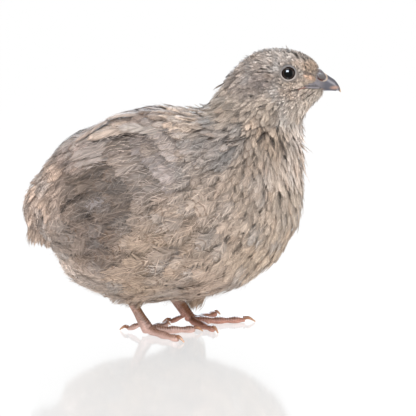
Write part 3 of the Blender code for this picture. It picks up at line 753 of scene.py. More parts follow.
def make_feathers(name, lot, kinds_of_vane, material, seed):
    """Meshes of a lot of feathers, each bent to lie along the body, in pieces of a fair size."""
    draw = np.random.default_rng(seed)
    count = len(lot.starts)
    chord = lot.ends - lot.starts
    ways = unit(chord)
    bow = ((lot.end_out - lot.start_out) * ways).sum(1).clip(-0.1, 1.2) * np.linalg.norm(chord, axis=1) / 8
    over = square_to(lot.start_out + lot.end_out, ways)
    sideways = np.cross(ways, over)
    roll = draw.normal(0, 0.07, count)[:, None]
    across = sideways * np.cos(roll) + over * np.sin(roll)
    lifted = over * np.cos(roll) - sideways * np.sin(roll)
    place = skin_map(lot.starts)
    chance = draw.random(count)
    pale_shaft = 0.10 + 0.90 * (draw.random(count) < 0.38)

    def stacked(*values):
        return np.stack(np.broadcast_arrays(*values), 2)

    def laid(vane, some):
        """Some of the feathers as copies of a vane: its triangles, then what each point of each has."""
        x, y, z = vane.spots.T
        half = lot.widths[some, None, None] / 2
        arch = (4 * y * (1 - y))[None, :, None] * (bow + lot.bow)[some, None, None]
        spots = (
            lot.starts[some, None]
            + chord[some, None] * y[None, :, None]
            + over[some, None] * arch
            + across[some, None] * half * x[None, :, None]
            + lifted[some, None] * half * (z - 0.07 * x * x)[None, :, None]
        )
        buried = BURIED_SHADE + (1 - BURIED_SHADE) * np.clip((y - 0.28) / 0.35, 0, 1)
        pale = (vane.shaft * np.clip(y * 2 - 0.7, 0, 1))[None, :] * pale_shaft[some, None]
        rgb = lot.colours[some, None] * buried[None, :, None] * (1 + SHAFT_GLEAM * pale[..., None])
        # Painted shadow of the partings darkens the feathers that lie in them
        rgb *= 1 - PARTING_PAINTED_SHADE * parting_shade(spots.reshape(-1, 3)).reshape(rgb.shape[:2] + (1,))
        out = np.maximum(vane.out, np.clip((y - 0.8) / 0.2, 0, 1))
        vane_place = stacked(out[None], y[None], chance[some, None])
        marks = stacked(lot.bars[some, None], lot.rims[some, None], vane.shaft[None])
        patch = place[some, None] + np.stack([x * PATCH / 2, (y - 0.5) * PATCH], 1)[None]
        return vane.corners, spots, rgb, vane_place, marks, patch

    batches, held = [[]], 0
    for number, vane in enumerate(kinds_of_vane):
        mine = np.flatnonzero(lot.vanes == number)
        while len(mine):
            room = (MOST_TRIANGLES - held) // len(vane.corners)
            if room < 1:
                batches.append([])
                held = 0
                continue
            some, mine = mine[:room], mine[room:]
            held += len(some) * len(vane.corners)
            batches[-1].append(laid(vane, some))
    pieces = []
    for number, batch in enumerate(batches):
        offset, corners = 0, []
        for faces, spots, *_ in batch:
            steps = np.arange(len(spots))[:, None, None] * spots.shape[1] + offset
            corners.append((faces[None] + steps).reshape(-1, 3))
            offset += spots.shape[0] * spots.shape[1]
        spots, tints, places, marks, patches = (
            np.concatenate([values.reshape(-1, values.shape[-1]) for values in column])
            for column in list(zip(*batch))[1:]
        )
        paints = {"Tint": tints, "Place": places, "Marks": marks}
        title = name if number == 0 else f"{name}_{number + 1}"
        pieces.append(mesh_piece(title, spots, np.concatenate(corners), paints, patches, material))
    return pieces


def lie_of(points, outward):
    """The way that feathers point at places on the skin."""
    angle = np.radians([zone.lie for zone in ZONES.values()])
    heading = zone_mix(points, np.column_stack([np.cos(angle), np.sin(angle)]))
    return square_to(np.column_stack([heading[:, 0], np.zeros(len(points)), heading[:, 1]]), outward)


def swung(ways, outward, angles):
    """Ways along the skin turned by so many radians each."""
    turn = angles[:, None]
    return ways * np.cos(turn) + np.cross(outward, ways) * np.sin(turn)


# The middle of the eye on the side of the head (x, z), and half of the bare oval round it
EYE_SPOT = np.array((0.0507, 0.1257))
EYE_CLEAR = np.array((0.0047, 0.0041))


def round_the_eye(roots, ways, lengths):
    """Near an eye the feathers turn aside and are shorter, so that none crosses the lids."""
    rel = (roots[:, [0, 2]] - EYE_SPOT) * np.clip(np.abs(roots[:, 1:2]) * 1000 - 3, 0, 1)
    away = np.linalg.norm(rel, axis=1)
    aim = rel / np.maximum(away, 1e-9)[:, None]
    inward = np.minimum((ways[:, [0, 2]] * aim).sum(1), 0) * np.clip((0.0085 - away) / 0.003, 0, 1)
    ways = ways.copy()
    ways[:, [0, 2]] -= aim * (inward * 1.15)[:, None]
    near = np.clip((away - EYE_CLEAR[1]) / 0.004, 0, 1)
    return unit(ways), lengths * np.where(away < 0.009, 0.55 + 0.45 * near, 1)


# The edge of the shoulder feathers over the folded wing: x, and z there
SHOULDER_EDGE = (
    (-0.0500, -0.0430, -0.0386, -0.0323, -0.0272, -0.0188, -0.0146, -0.0080),
    (0.0900, 0.0943, 0.0959, 0.0972, 0.0986, 0.0984, 0.0981, 0.0965),
)


def overhang(points):
    """How much further the feathers stand out that overhang a folded wing, least on the far side."""
    above = points[:, 2] - np.interp(points[:, 0], *SHOULDER_EDGE)
    reach = np.clip((0.020 - np.abs(points[:, 0] + 0.022)) / 0.006, 0, 1) * (np.abs(points[:, 1]) > 0.012)
    fade = (above > 0.0012) * np.clip(1 - (above - 0.0012) / 0.007, 0, 1)
    return (0.0013 - 0.0009 * (points[:, 1] > 0)) * reach * fade


# How far feathers turn aside by chance, in degrees, and how many vanes there are of each kind
YAW = 9
VARIANTS = 5


def coat(roots, seed, sink, tip_rise, bow):
    """A lot of feathers of the zones' kinds at these roots, laid along the skin."""
    draw = np.random.default_rng(seed)
    count = len(roots)
    on_skin, outward = nearest(roots)
    kind = Kind(*(of_kind(on_skin, trait) for trait in Kind._fields))
    lengths = kind.length / 1000 * draw.uniform(0.82, 1.15, count)
    widths = kind.width / 1000 * draw.uniform(0.85, 1.15, count)
    calm = 1 - 0.8 * (overhang(on_skin) > 0)
    swirl = (15 - 7 * head_share(on_skin)) * speckle(on_skin, 0.011, 13) * calm
    ways = swung(lie_of(on_skin, outward), outward, np.radians(swirl + draw.normal(0, YAW, count)))
    ways, lengths = round_the_eye(on_skin, ways, lengths)
    ways = square_to(ways, outward)
    tips, tip_out = nearest(on_skin + ways * lengths[:, None])
    rise = tip_rise * kind.lift * np.exp(draw.normal(0, 0.16, count) * kind.lift**2) + overhang(on_skin)
    shade = draw.normal(0, 1, count).clip(-2.2, 1.1) * kind.vary
    colours = plumage_colour((on_skin + tips) / 2) * np.exp(shade)[:, None]
    pointed = draw.random(count) < kind.pointed
    loose = draw.random(count) < kind.loose
    group = np.where(loose, 1, np.where(pointed, 2, 0))
    vanes = group * VARIANTS + draw.integers(VARIANTS, size=count)
    bars = kind.bars * (draw.random(count) < 0.75)
    rims = kind.rim * draw.choice((0.0, 0.6, 1.4), count, p=(0.42, 0.36, 0.22))
    starts, ends = on_skin - outward * sink, tips + tip_out * rise[:, None]
    values = (starts, ends, outward, tip_out, widths, colours, bars, rims, vanes)
    kept = (parting_shade(0.4 * on_skin + 0.6 * tips) < 0.7) | (head_share(on_skin) > 0.3)
    return Feathers(*(value[kept] for value in values), bow)


def mixed(share, first, second):
    """Two colours mixed, the second one as strongly as share says."""
    return node(share.tree, "ShaderNodeMix", {"data_type": "RGBA"}, {0: share, 6: first, 7: second}, 2)


def solid(red, green, blue):
    """A colour from 0 to 255, for a socket."""
    return (*linear(red, green, blue), 1)


def painted_numbers(tree, name):
    """The three numbers that paint_points kept under a name, as three sockets."""
    kept = node(tree, "ShaderNodeAttribute", {"attribute_name": name}, output=1)
    return [node(tree, "ShaderNodeSeparateXYZ", {}, [kept], k) for k in range(3)]


def feather_material(name, roughness, contrast):
    """Barbs as fine lines, brown bars across, a dark line (dark band and painted edge shadow) inside a paler
    rim.
    """
    made, tree, shader = new_material(name, roughness, gloss=0.12, sheen=0.1)
    out, along, chance = painted_numbers(tree, "Place")
    bars, rim, _ = painted_numbers(tree, "Marks")

    def own_clouds(x, y, z, detail):
        """Noise that differs from feather to feather."""
        return clouds(tree, 1.0, detail, Vector=node(tree, "ShaderNodeCombineXYZ", {}, [x, y, z]))

    lines = own_clouds(out * 1.5, (along - out * 0.35) * 22, chance * 90, 2.0)
    locks = own_clouds(out * 1.5, (along - out * 0.38) * 12, chance * 50, 1.0)
    cloud = own_clouds(out * 1.2, along * 2.5, chance * 70, 1.0)
    waves = along * 34 - out * 3 + cloud * 6 + chance * 40
    ripple = node(tree, "ShaderNodeMath", {"operation": "SINE"}, [waves])
    bar = ripple.step(0.25, 0.85) * along.step(0.45, 0.65) * bars * cloud.step(0.42, 0.58)
    # The dark line near the edge: the feather's own dark band, and painted shadow of its edge over the next
    line = out.step(0.66, 0.86) * out.step(1.0, 0.91) * along.step(0.45, 0.80) * rim
    edge = out.step(0.86, 1.0) * rim
    wispy = (1.25 - rim * 0.7) * (locks.step(0.30, 0.70) - 0.5) * 0.42
    brightness = 0.86 - 0.28 * contrast + lines * (0.56 * contrast) + wispy + cloud * 0.26
    body = mixed(bar * 0.72, scaled(painted_colour(tree), brightness), solid(98, 74, 56))
    body = mixed(line * (0.35 + cloud * 0.7), body, solid(112, 88, 70))
    body = mixed(edge * 0.30, body, solid(218, 202, 184))
    link(body, shader, "Base Color")
    relief(shader, lines, strength=0.35, distance=0.0002)
    return made


# Vanes that hold together, downy ones and pointed ones: how many barbs, outline, how far out
# they hold together, how ragged the tip is, and how often two barbs part
vane_draw = np.random.default_rng(4)
body_vanes = vane_set(
    VARIANTS,
    (28, round_outline, 0.80, 0.10, 0.28),
    (20, round_outline, 0.40, 0.22, 0.75),
    (20, pointed_outline, 0.72, 0.12, 0.30),
)
soft_feather = feather_material("soft_feather", roughness=0.75, contrast=1.0)

# How far apart feathers grow for each millimetre of their width, and how far up the neck, from
# 0 to 1, those of the head take over
BODY_SPACING, HEAD_FROM = 0.00049, 0.55


def open_patch(points):
    """Where body feathers have slipped over the wing."""
    return speckle(points, 0.011, 9) > 0.25


def body_grows(points):
    """Where body feathers grow: up to the head, round the wings and over the back between them."""
    off_wing = (in_wing(points) < 0.30) | (np.abs(points[:, 1]) < 0.016) | open_patch(points)
    return (head_share(points) < HEAD_FROM) & off_wing


roots = scatter(lambda p: of_kind(p, "width") * BODY_SPACING, body_grows, 11)
body_lot = coat(roots, seed=21, sink=-0.0007, tip_rise=BODY_DEPTH * 0.92, bow=0.0003)
make_feathers("body_feathers", body_lot, body_vanes, soft_feather, seed=31)

# Wings
# Flight feathers and coverts in tiers like roof tiles, each higher one over the next. The
# tertials, nearest the back, lie over them all and are barred.

PLUM = (150, 138, 131)
SLATE = (136, 124, 118)
MOLE = (158, 145, 137)
DUSK = (120, 107, 98)
SOOT = (106, 92, 82)

# A tier: how many feathers, where the first and last spring from (along, up), how far those two
# are turned down from the wing's own line in degrees, length, width, how far each tip stands out,
# and colour
Tier = namedtuple("Tier", "count first last turns length width rise colour")
TIERS = {
    "primaries": Tier(6, (0.0000, -0.0140), (0.0090, -0.0090), (-3, 3), 0.029, 0.0070, 0.0010, SOOT),
    "secondaries": Tier(9, (-0.0080, -0.0155), (0.0030, 0.0080), (-5, 8), 0.029, 0.0085, 0.0016, SOOT),
    "greater_coverts": Tier(10, (-0.0190, -0.0150), (-0.0090, 0.0125), (-6, 8), 0.020, 0.0080, 0.0020, DUSK),
    "median_coverts": Tier(10, (-0.0255, -0.0130), (-0.0170, 0.0125), (-6, 8), 0.0145, 0.0075, 0.0022, SLATE),
    "lesser_coverts": Tier(9, (-0.0315, -0.0105), (-0.0240, 0.0115), (-6, 8), 0.0120, 0.0070, 0.0023, PLUM),
    "marginal_coverts": Tier(8, (-0.0365, -0.0080), (-0.0300, 0.0110), (-6, 8), 0.0100, 0.0060, 0.0022, PLUM),
    "tertials": Tier(4, (-0.0020, 0.0060), (0.0000, 0.0145), (0, -6), 0.0300, 0.0105, 0.0030, MOLE),
}


def on_side(x, z, side, stand=0.0):
    """Points of the skin under what stands out that far and shows from one side at each x and z,
    and the ways out there."""
    found = []
    for a, b, out in zip(x, z, np.broadcast_to(stand, np.shape(x))):
        aim = Vector((a, side * 0.1, b))
        for _ in range(3):
            spot, normal, _, _ = skin_tree.ray_cast(aim, Vector((0, -side, 0)))
            if spot is None:
                spot, normal, _, _ = skin_tree.find_nearest(Vector((aim.x, side * 0.004, aim.z)))
            seen = spot + normal * out
            aim += Vector((a - seen.x, 0, b - seen.z))
        found.append((spot, normal))
    return np.array([f[0] for f in found]), np.array([f[1] for f in found])


def from_wing_place(along, up, side):
    """Points on the skin at places on the wing of one side."""
    back, down = math.cos(WING_SLOPE), math.sin(WING_SLOPE)
    return on_side(WING_MIDDLE[0] - along * back - up * down, WING_MIDDLE[1] - along * down + up * back, side)


wing_vanes = vane_set(6, (30, flight_outline, 0.84, 0.06, 0.16))
firm_feather = feather_material("firm_feather", roughness=0.6, contrast=1.5)


def between(first, last, share):
    """From first to last, as far as share says."""
    return first + (last - first) * share


for side, side_name in SIDES:
    draw = np.random.default_rng(50 + side)
    lots = []
    for tier_name, tier in TIERS.items():
        count = tier.count
        share = np.linspace(0, 1, count)
        along = between(tier.first[0], tier.last[0], share) + draw.normal(0, 0.0007, count)
        up = between(tier.first[1], tier.last[1], share)
        turn = np.radians(between(*tier.turns, share) + draw.normal(0, 4.0, count))
        length = tier.length * draw.uniform(0.92, 1.06, count)
        starts, start_out = from_wing_place(along, up, side)
        ends, end_out = from_wing_place(along + length * np.cos(turn), up - length * np.sin(turn), side)
        rise = tier.rise * 0.75 + draw.normal(0, 0.0003, count)
        bright = np.exp(draw.normal(0, 0.16, count))[:, None]
        bars, rims = (0.8, 0.5) if tier_name == "tertials" else (0.15, 0.35)
        lots.append(Feathers(
            starts + start_out * 0.0002, ends + end_out * rise[:, None], start_out, end_out,
            tier.width * draw.uniform(0.94, 1.06, count), linear(*tier.colour) * bright,
            np.full(count, bars), np.full(count, rims), draw.integers(len(wing_vanes), size=count), 0.0008,
        ))
    name, lot = f"wing_feathers_{side_name}", all_together(lots)
    pieces = make_feathers(name, lot, wing_vanes, firm_feather, seed=60 + side)
    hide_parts(f"wing_{side_name}")

# Shoulder feathers
# The lowest scapulars, longer and firmer than the rest: laid end over end along each flank of the
# back, they make one straight edge that overhangs the folded wing.

# x of the root and of the tip, how far the middle lies above the edge at each, how far each
# stands out from the skin, width and colour
EDGE_FEATHERS = (
    (-0.0215, -0.0440, 0.0034, 0.0020, 0.0032, 0.0034, 0.0072, (190, 170, 155)),
    (-0.0340, -0.0500, 0.0064, 0.0040, 0.0026, 0.0034, 0.0070, (176, 156, 143)),
    (-0.0080, -0.0290, 0.0036, 0.0030, 0.0014, 0.0044, 0.0076, (168, 156, 147)),
    (-0.0170, -0.0350, 0.0082, 0.0066, 0.0016, 0.0036, 0.0064, (176, 158, 146)),
)
# The left side's lie closer, so that from the right none shows over the back
FAR_SIDE_CLOSER = 0.6
edge_table = np.array([row[:-1] for row in EDGE_FEATHERS])
count = len(EDGE_FEATHERS)
for side, side_name in SIDES:
    stands = edge_table[:, 4:6] * (FAR_SIDE_CLOSER if side == 1 else 1.0)
    (starts, start_out), (ends, end_out) = (
        on_side(x, np.interp(x, *SHOULDER_EDGE) + above, side, out)
        for x, above, out in zip(edge_table[:, 0:2].T, edge_table[:, 2:4].T, stands.T)
    )
    lot = Feathers(
        starts + start_out * stands[:, :1], ends + end_out * stands[:, 1:], start_out, end_out,
        edge_table[:, 6], np.array([linear(*row[-1]) for row in EDGE_FEATHERS]), np.full(count, 0.3),
        np.full(count, 0.5), np.arange(count), 0.0006,
    )
    make_feathers(f"shoulder_feathers_{side_name}", lot, wing_vanes, soft_feather, seed=67 + side)

# Tail
# A short drooping fan of six pairs of soft feathers, bent like a roof, with a row of coverts.

# Roots of the middle feather and of the outermost left one, their tips and their width, in
# tenths of a millimetre: the feathers, and the coverts over them
TAIL_FANS = (
    ((-690, 8, 680), (-630, 125, 640), (-736, 10, 428), (-625, 140, 425), 70),
    ((-665, 8, 760), (-605, 130, 720), (-728, 10, 530), (-645, 150, 500), 72),
)
TAIL_PAIRS = 6
# A place inside the bird that the fan faces away from
TAIL_INSIDE = np.array((-0.0480, 0, 0.0560))
draw = np.random.default_rng(71)
lots = []
for *corners, width in TAIL_FANS:
    root, last_root, tip, last_tip = np.array(corners) / 10000
    for side, _ in SIDES:
        share = np.linspace(0, 1, TAIL_PAIRS)[:, None]
        starts = between(root, last_root, share)
        ends = between(tip, last_tip, share) + draw.normal(0, 0.0005, (TAIL_PAIRS, 3))
        starts[:, 1] *= side
        ends[:, 1] *= side
        out = unit((starts + ends) / 2 - TAIL_INSIDE)
        colours = linear(162, 140, 124) * np.exp(draw.normal(0, 0.05, TAIL_PAIRS))[:, None]
        lots.append(Feathers(
            starts, ends, out, out, np.full(TAIL_PAIRS, width / 10000), colours, np.full(TAIL_PAIRS, 0.5),
            np.full(TAIL_PAIRS, 0.2), draw.integers(len(wing_vanes), size=TAIL_PAIRS), 0.0014,
        ))
lot = all_together(lots)
pieces = make_feathers("tail_feathers", lot, wing_vanes, firm_feather, seed=72)
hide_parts("tail")

# Head feathers
# Tiny close feathers from the bill back over the crown and cheeks, a little longer on the nape.
# They keep clear of the lids and of the corner of the mouth.

# The fleshy line back from the corner of the mouth: x and z of its points
GAPE_LINE = np.array((
    (0.0548, 0.1181), (0.0564, 0.1187), (0.0584, 0.1194), (0.0610, 0.1194), (0.0648, 0.1190),
))
HEAD_SPACING = 0.00040


def bare_face(points):
    """Where no feathers grow on the head: the eyes, the rings round them and the gape."""
    spots = points[:, [0, 2]]
    eye = (np.linalg.norm((spots - EYE_SPOT) / EYE_CLEAR, axis=1) < 1) & (np.abs(points[:, 1]) > 0.004)
    gape = np.zeros(len(points), bool)
    for start, end in zip(GAPE_LINE, GAPE_LINE[1:]):
        gape |= off_line(spots, start, end)[1] < 0.0007
    return eye | gape | (bill_base(points) > 0)


def head_grows(points):
    """Where head feathers grow."""
    return (head_share(points) >= HEAD_FROM) & ~bare_face(points)


head_vanes = vane_set(
    VARIANTS,
    (7, round_outline, 0.70, 0.09, 0.25),
    (6, round_outline, 0.50, 0.14, 0.60),
    (7, pointed_outline, 0.62, 0.10, 0.30),
)
roots = scatter(lambda p: of_kind(p, "width") * HEAD_SPACING, head_grows, 12)
head_lot = coat(roots, seed=22, sink=0.0002, tip_rise=HEAD_DEPTH, bow=0.0002)
make_feathers("head_feathers", head_lot, head_vanes, soft_feather, seed=32)

# Thigh and tail tufts
# Loose downy feathers hang over the top of each shank, the longest in front of the far one, and
# fringe the end of the tail.

# Middle of the roots, middle of the tips and how far the roots spread (x, y), all in tenths of a
# millimetre; how much of that spread is left at the tips, how many feathers, and their colour
THIGH_BROWN, TAIL_BROWN = (150, 126, 104), (170, 148, 132)
TUFTS = (
    ((68, 120, 185), (58, 122, 92), (50, 45), (0.30, 0.4), 150, THIGH_BROWN),
    ((-60, 115, 195), (-55, 112, 146), (55, 55), (0.30, 0.4), 40, THIGH_BROWN),
    ((-200, -115, 215), (-215, -118, 166), (80, 55), (0.30, 0.4), 70, THIGH_BROWN),
    ((-660, 0, 530), (-678, 0, 452), (48, 120), (1.05, 1.0), 190, TAIL_BROWN),
)
draw = np.random.default_rng(81)
lots = []
for root, tip, spread, kept_spread, count, brown in TUFTS:
    root, tip, spread = (np.array(place) / 10000 for place in (root, tip, spread))
    turn = draw.uniform(0, math.tau, count)
    rise = draw.normal(0, 0.0015, count)
    ring = np.column_stack([np.cos(turn) * spread[0], np.sin(turn) * spread[1], rise])
    starts = root + ring
    ends = tip + ring * [*kept_spread, 0.8] + draw.normal(0, 0.0008, (count, 3))
    out = unit(ring * [1, 1, 0] + 1e-9)
    lots.append(Feathers(
        starts, ends, out, out, draw.uniform(0.0009, 0.0022, count),
        linear(*brown) * np.exp(draw.normal(0, 0.10, count))[:, None],
        np.full(count, 0.3), np.full(count, 0.3), VARIANTS + draw.integers(VARIANTS, size=count), 0.0012,
    ))
make_feathers("tuft_feathers", all_together(lots), body_vanes, soft_feather, seed=82)

# Loose barbs
# Single barbs that have worked free: a haze at the outline of the coat, pale curled ones over the
# wing and side, and a fringe under the body and down the throat.

STRAND_STEPS = 6


def make_strands(name, starts, ways, outward, lengths, widths, curl, colours):
    """Thin tapering strips, each curled sideways over the coat."""
    steps = np.linspace(0, 1, STRAND_STEPS)
    turn = (curl[:, None] * steps[None] ** 1.4)[..., None]
    run = ways[:, None] * np.cos(turn) + np.cross(outward, ways)[:, None] * np.sin(turn)
    pace = run * (lengths / STRAND_STEPS)[:, None, None]
    path = starts[:, None] + np.cumsum(pace, 1) - pace
    across = np.cross(np.broadcast_to(outward[:, None], run.shape), run)
    half = (widths[:, None] * (1 - 0.85 * steps[None]) / 2)[..., None]
    spots = np.stack([path - across * half, path + across * half], 2)
    count, each = len(starts), 2 * STRAND_STEPS
    faces = []
    for a in range(0, each - 2, 2):
        faces += [(a, a + 1, a + 3), (a, a + 3, a + 2)]
    corners = (np.array(faces)[None] + np.arange(count)[:, None, None] * each).reshape(-1, 3)
    across_and_along = np.column_stack([np.tile([0.0, 1.0], STRAND_STEPS), np.repeat(steps, 2)])
    patches = np.repeat(skin_map(starts), each, axis=0) + np.tile(across_and_along - 0.5, (count, 1)) * PATCH
    paints = {
        "Tint": np.repeat(colours, each, axis=0),
        "Place": np.tile(np.array((0.2, 0.9, 0.5)), (count * each, 1)),
        "Marks": np.zeros((count * each, 3)),
    }
    mesh_piece(name, spots.reshape(-1, 3), corners, paints, patches, soft_feather)


# Loose barbs over part of the coat: the seed of their chance, how far apart and where they are,
# length as a share of the feathers' there, width, how far out through the coat they start, how
# far they lean out in degrees, and how bright they are
Barbs = namedtuple("Barbs", "seed spacing wanted length width stand lean bright")
BARB_TURN, BARB_CURL = 22, 0.5
LOOSE_BARBS = {
    "haze_barbs": Barbs(
        91, lambda p: 0.0011 + 0.0006 * (1 - head_share(p)),
        lambda p: ~bare_face(p) & (in_wing(p) < 0.1),
        0.60, 0.00013, 0.75, 18, 1.05,
    ),
    "curled_barbs": Barbs(
        92, lambda p: 0.0035 - 0.0015 * (in_wing(p) > 0.1),
        lambda p: (head_share(p) < 0.3) & (np.abs(p[:, 1]) > 0.012),
        0.60, 0.00020, 1.15, 3, 1.45,
    ),
    "fringe_barbs": Barbs(
        93, lambda p: np.full(len(p), 0.0013),
        lambda p: (p[:, 2] < 0.028) | ((p[:, 0] > 0.050) & (p[:, 2] > 0.088) & (p[:, 2] < 0.113)),
        0.50, 0.00022, 0.75, 15, 1.0,
    ),
}
for name, barbs in LOOSE_BARBS.items():
    draw = np.random.default_rng(barbs.seed)
    on_skin, outward = nearest(scatter(barbs.spacing, barbs.wanted, barbs.seed))
    count = len(on_skin)
    ways = swung(lie_of(on_skin, outward), outward, np.radians(draw.normal(0, BARB_TURN, count)))
    tilt = np.radians(np.abs(draw.normal(barbs.lean, barbs.lean * 0.5, count)))[:, None]
    ways, _ = round_the_eye(on_skin, ways, np.ones(count))
    ways = unit(ways * np.cos(tilt) + outward * np.sin(tilt))
    starts = on_skin + outward * (coat_depth(on_skin) * barbs.stand)[:, None]
    lengths = barbs.length * of_kind(on_skin, "length") / 1000 * draw.uniform(0.6, 1.3, count)
    colours = plumage_colour(on_skin) * barbs.bright * np.exp(draw.normal(0, 0.15, count))[:, None]
    curl = draw.normal(0, BARB_CURL, count)
    make_strands(name, starts, ways, outward, lengths, np.full(count, barbs.width), curl, colours)

# Dark edges and painted shadow
# Where the coat parts, the dark edges of the feathers beneath and the shade in the gap show as
# fine lines, and dark strands stand in for both. Each is a strand laid along the parting, and on
# the skin just under the tips of the coat.

LINE_STEP, WIDEST_LINE = 0.0003, 0.0009
draw = np.random.default_rng(95)
lines = np.repeat(PARTINGS, 2 + np.round(PARTINGS[:, 4] / LINE_STEP).astype(int), axis=0)
count = len(lines)
from_spots, to_spots, parting_widths = lines[:, 0:2], lines[:, 2:4], lines[:, 4]
along = to_spots - from_spots
across = unit(along[:, ::-1] * (-1, 1)) * (draw.normal(0, 0.32, count) * parting_widths)[:, None]
near_ends = from_spots + along * draw.uniform(0, 0.5, (count, 1)) + across
far_ends = to_spots + across * 0.6
on_middle = np.insert(near_ends, 1, 0, axis=1)
stand = coat_depth(on_middle) * 1.25 * of_kind(on_middle, "lift") - 0.0009 * lips(on_middle)
for side, side_name in SIDES:
    starts, start_out = on_side(*near_ends.T, side, stand)
    ends, end_out = on_side(*far_ends.T, side, stand)
    starts = starts + start_out * stand[:, None]
    chord = ends + end_out * stand[:, None] - starts
    level = np.abs(chord[:, 1]) < 0.9 * np.linalg.norm(chord[:, [0, 2]], axis=1)
    lengths = np.linalg.norm(chord, axis=1) * draw.uniform(0.6, 1.0, count)
    widths = np.minimum(parting_widths, WIDEST_LINE) * draw.uniform(0.5, 0.8, count)
    curl = draw.normal(0, 0.15, count)
    # Dark brown: the feathers' dark edges, with the painted shadow of the gap
    colours = linear(66, 55, 48) * draw.uniform(0.6, 1.3, (count, 1))
    values = (starts, unit(chord), start_out, lengths, widths, curl, colours)
    make_strands(f"shadow_and_edge_strands_{side_name}", *(value[level] for value in values))

# Eyes
# A dark wet ball in the side of the head, with a black pupil in a deep brown iris, held by a
# bare ring of pale blue-grey lid with a rounded edge.

# How far forward and up each eye looks for 1 sideways, where it sits from the node's middle, how
# deep in the head, and how much the front of the ball is flattened
EYE_AXIS = Vector((0.06, 0, 0.17))
EYE_SHIFT = Vector((0.00068, 0, 0.0004))
EYE_SUNK, FRONT_RADIUS, FRONT_FLAT = 0.0004, 0.0030, 0.00020
# The lids' opening, their clearance from the ball, how thick they and their rounded edge are,
# and how high the opening is for its width
IRIS_RADIUS, LID_GAP, LID_WALL, LID_BEAD, LID_FLATNESS = 0.0034, 0.00022, 0.0002, 0.00038, 0.89

wet_eye, tree, shader = new_material("wet_eye", roughness=0.03, gloss=0.11)
away, _, _ = painted_numbers(tree, "Place")
iris = mixed(away.step(1.9, 2.4), solid(2, 2, 2), solid(38, 28, 24))
link(mixed(away.step(2.55, 3.0), iris, solid(16, 9, 8)), shader, "Base Color")


def object_place(tree):
    """Places in the object's own measures."""
    return node(tree, "ShaderNodeTexCoord", output=3)


def grained(shader, tone, scale, detail, contrast, depth):
    """Mottles a tone with grain as fine as scale says, and roughens the surface by it."""
    grain = clouds(tone.tree, scale, detail, Vector=object_place(tone.tree))
    link(scaled(tone, 1 - contrast / 2 + grain * contrast), shader, "Base Color")
    relief(shader, grain, depth, 0.0001)


lid_skin, tree, shader = new_material("lid_skin", roughness=0.7, gloss=0.12)
height = node(tree, "ShaderNodeSeparateXYZ", {}, [object_place(tree)], 2)
lid_tone = mixed(height.step(0.1280, 0.1236), solid(112, 107, 105), solid(154, 143, 136))
grained(shader, lid_tone, scale=2600.0, detail=2.0, contrast=0.32, depth=0.5)


def ball(name, radius, segments, rings, middle, turned):
    """A ball that is turned so that its poles are on the eye's own line."""
    bpy.ops.object.select_all(action="DESELECT")
    bpy.ops.mesh.primitive_uv_sphere_add(
        segments=segments, ring_count=rings, radius=radius, location=middle, rotation=turned
    )
    made = bpy.context.object
    made.name = name
    bpy.ops.object.transform_apply(location=True, rotation=True, scale=True)
    return made


for side, side_name in SIDES:
    low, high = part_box(f"eye_{side_name}")
    ball_radius = max(high.x - low.x, high.z - low.z) / 2
    middle = (low + high) / 2 + EYE_SHIFT
    middle.y = side * (max(abs(low.y), abs(high.y)) - ball_radius - EYE_SUNK)
    axis = Vector((EYE_AXIS.x, side, EYE_AXIS.z)).normalized()
    turned = axis.to_track_quat("Z", "Y").to_euler()
    eyeball = ball(f"eyeball_{side_name}", ball_radius, 48, 32, middle, turned)
    points, _, _ = mesh_arrays(eyeball)
    rel, ahead_way = points - np.array(middle), np.array(axis)
    ahead = rel @ ahead_way
    from_axis = np.linalg.norm(rel - ahead[:, None] * ahead_way, axis=1)
    flatter = FRONT_FLAT * np.clip(1 - (from_axis / FRONT_RADIUS) ** 2, 0, 1) * (ahead > 0)
    put_back(eyeball, points - ahead_way * flatter[:, None])
    paint_points(eyeball, "Place", np.column_stack([from_axis * 1000, ahead, ahead]))
    bpy.ops.object.shade_smooth()
    dress(eyeball, wet_eye)
    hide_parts(f"eye_{side_name}")

    lid_radius = ball_radius + LID_GAP
    opening = math.sqrt(lid_radius**2 - IRIS_RADIUS**2)
    lids = ball(f"lids_{side_name}", lid_radius, 56, 40, middle, turned)
    bpy.ops.object.mode_set(mode="EDIT")
    bpy.ops.mesh.select_all(action="SELECT")
    bpy.ops.mesh.bisect(plane_co=middle + axis * opening, plane_no=axis, clear_outer=True)
    bpy.ops.mesh.select_all(action="SELECT")
    bpy.ops.mesh.bisect(plane_co=middle + axis * lid_radius * 0.15, plane_no=axis, clear_inner=True)
    bpy.ops.object.mode_set(mode="OBJECT")
    shape_by(lids, "SOLIDIFY", thickness=LID_WALL, offset=1)
    bpy.ops.mesh.primitive_torus_add(
        major_segments=56, minor_segments=12, major_radius=IRIS_RADIUS + 0.00016, minor_radius=LID_BEAD,
        location=middle + axis * (opening + 0.00002), rotation=turned,
    )
    join_into(lids, bpy.context.object)
    bpy.ops.object.shade_smooth()
    points, _, _ = mesh_arrays(lids)
    rel = points - np.array(middle)
    reach = np.linalg.norm(rel, axis=1, keepdims=True)
    rel = rel * (1.0, 1.0, LID_FLATNESS) + (0, 0, axis.z * opening * (1 - LID_FLATNESS))
    put_back(lids, np.array(middle) + rel * reach / np.linalg.norm(rel, axis=1, keepdims=True))
    dress(lids, lid_skin)

# Bill
# Slate-grey horn in two halves, the upper one hooked over the lower. A soft flap domes over each
# nostril, and a fleshy gape runs back from the corner of the mouth.

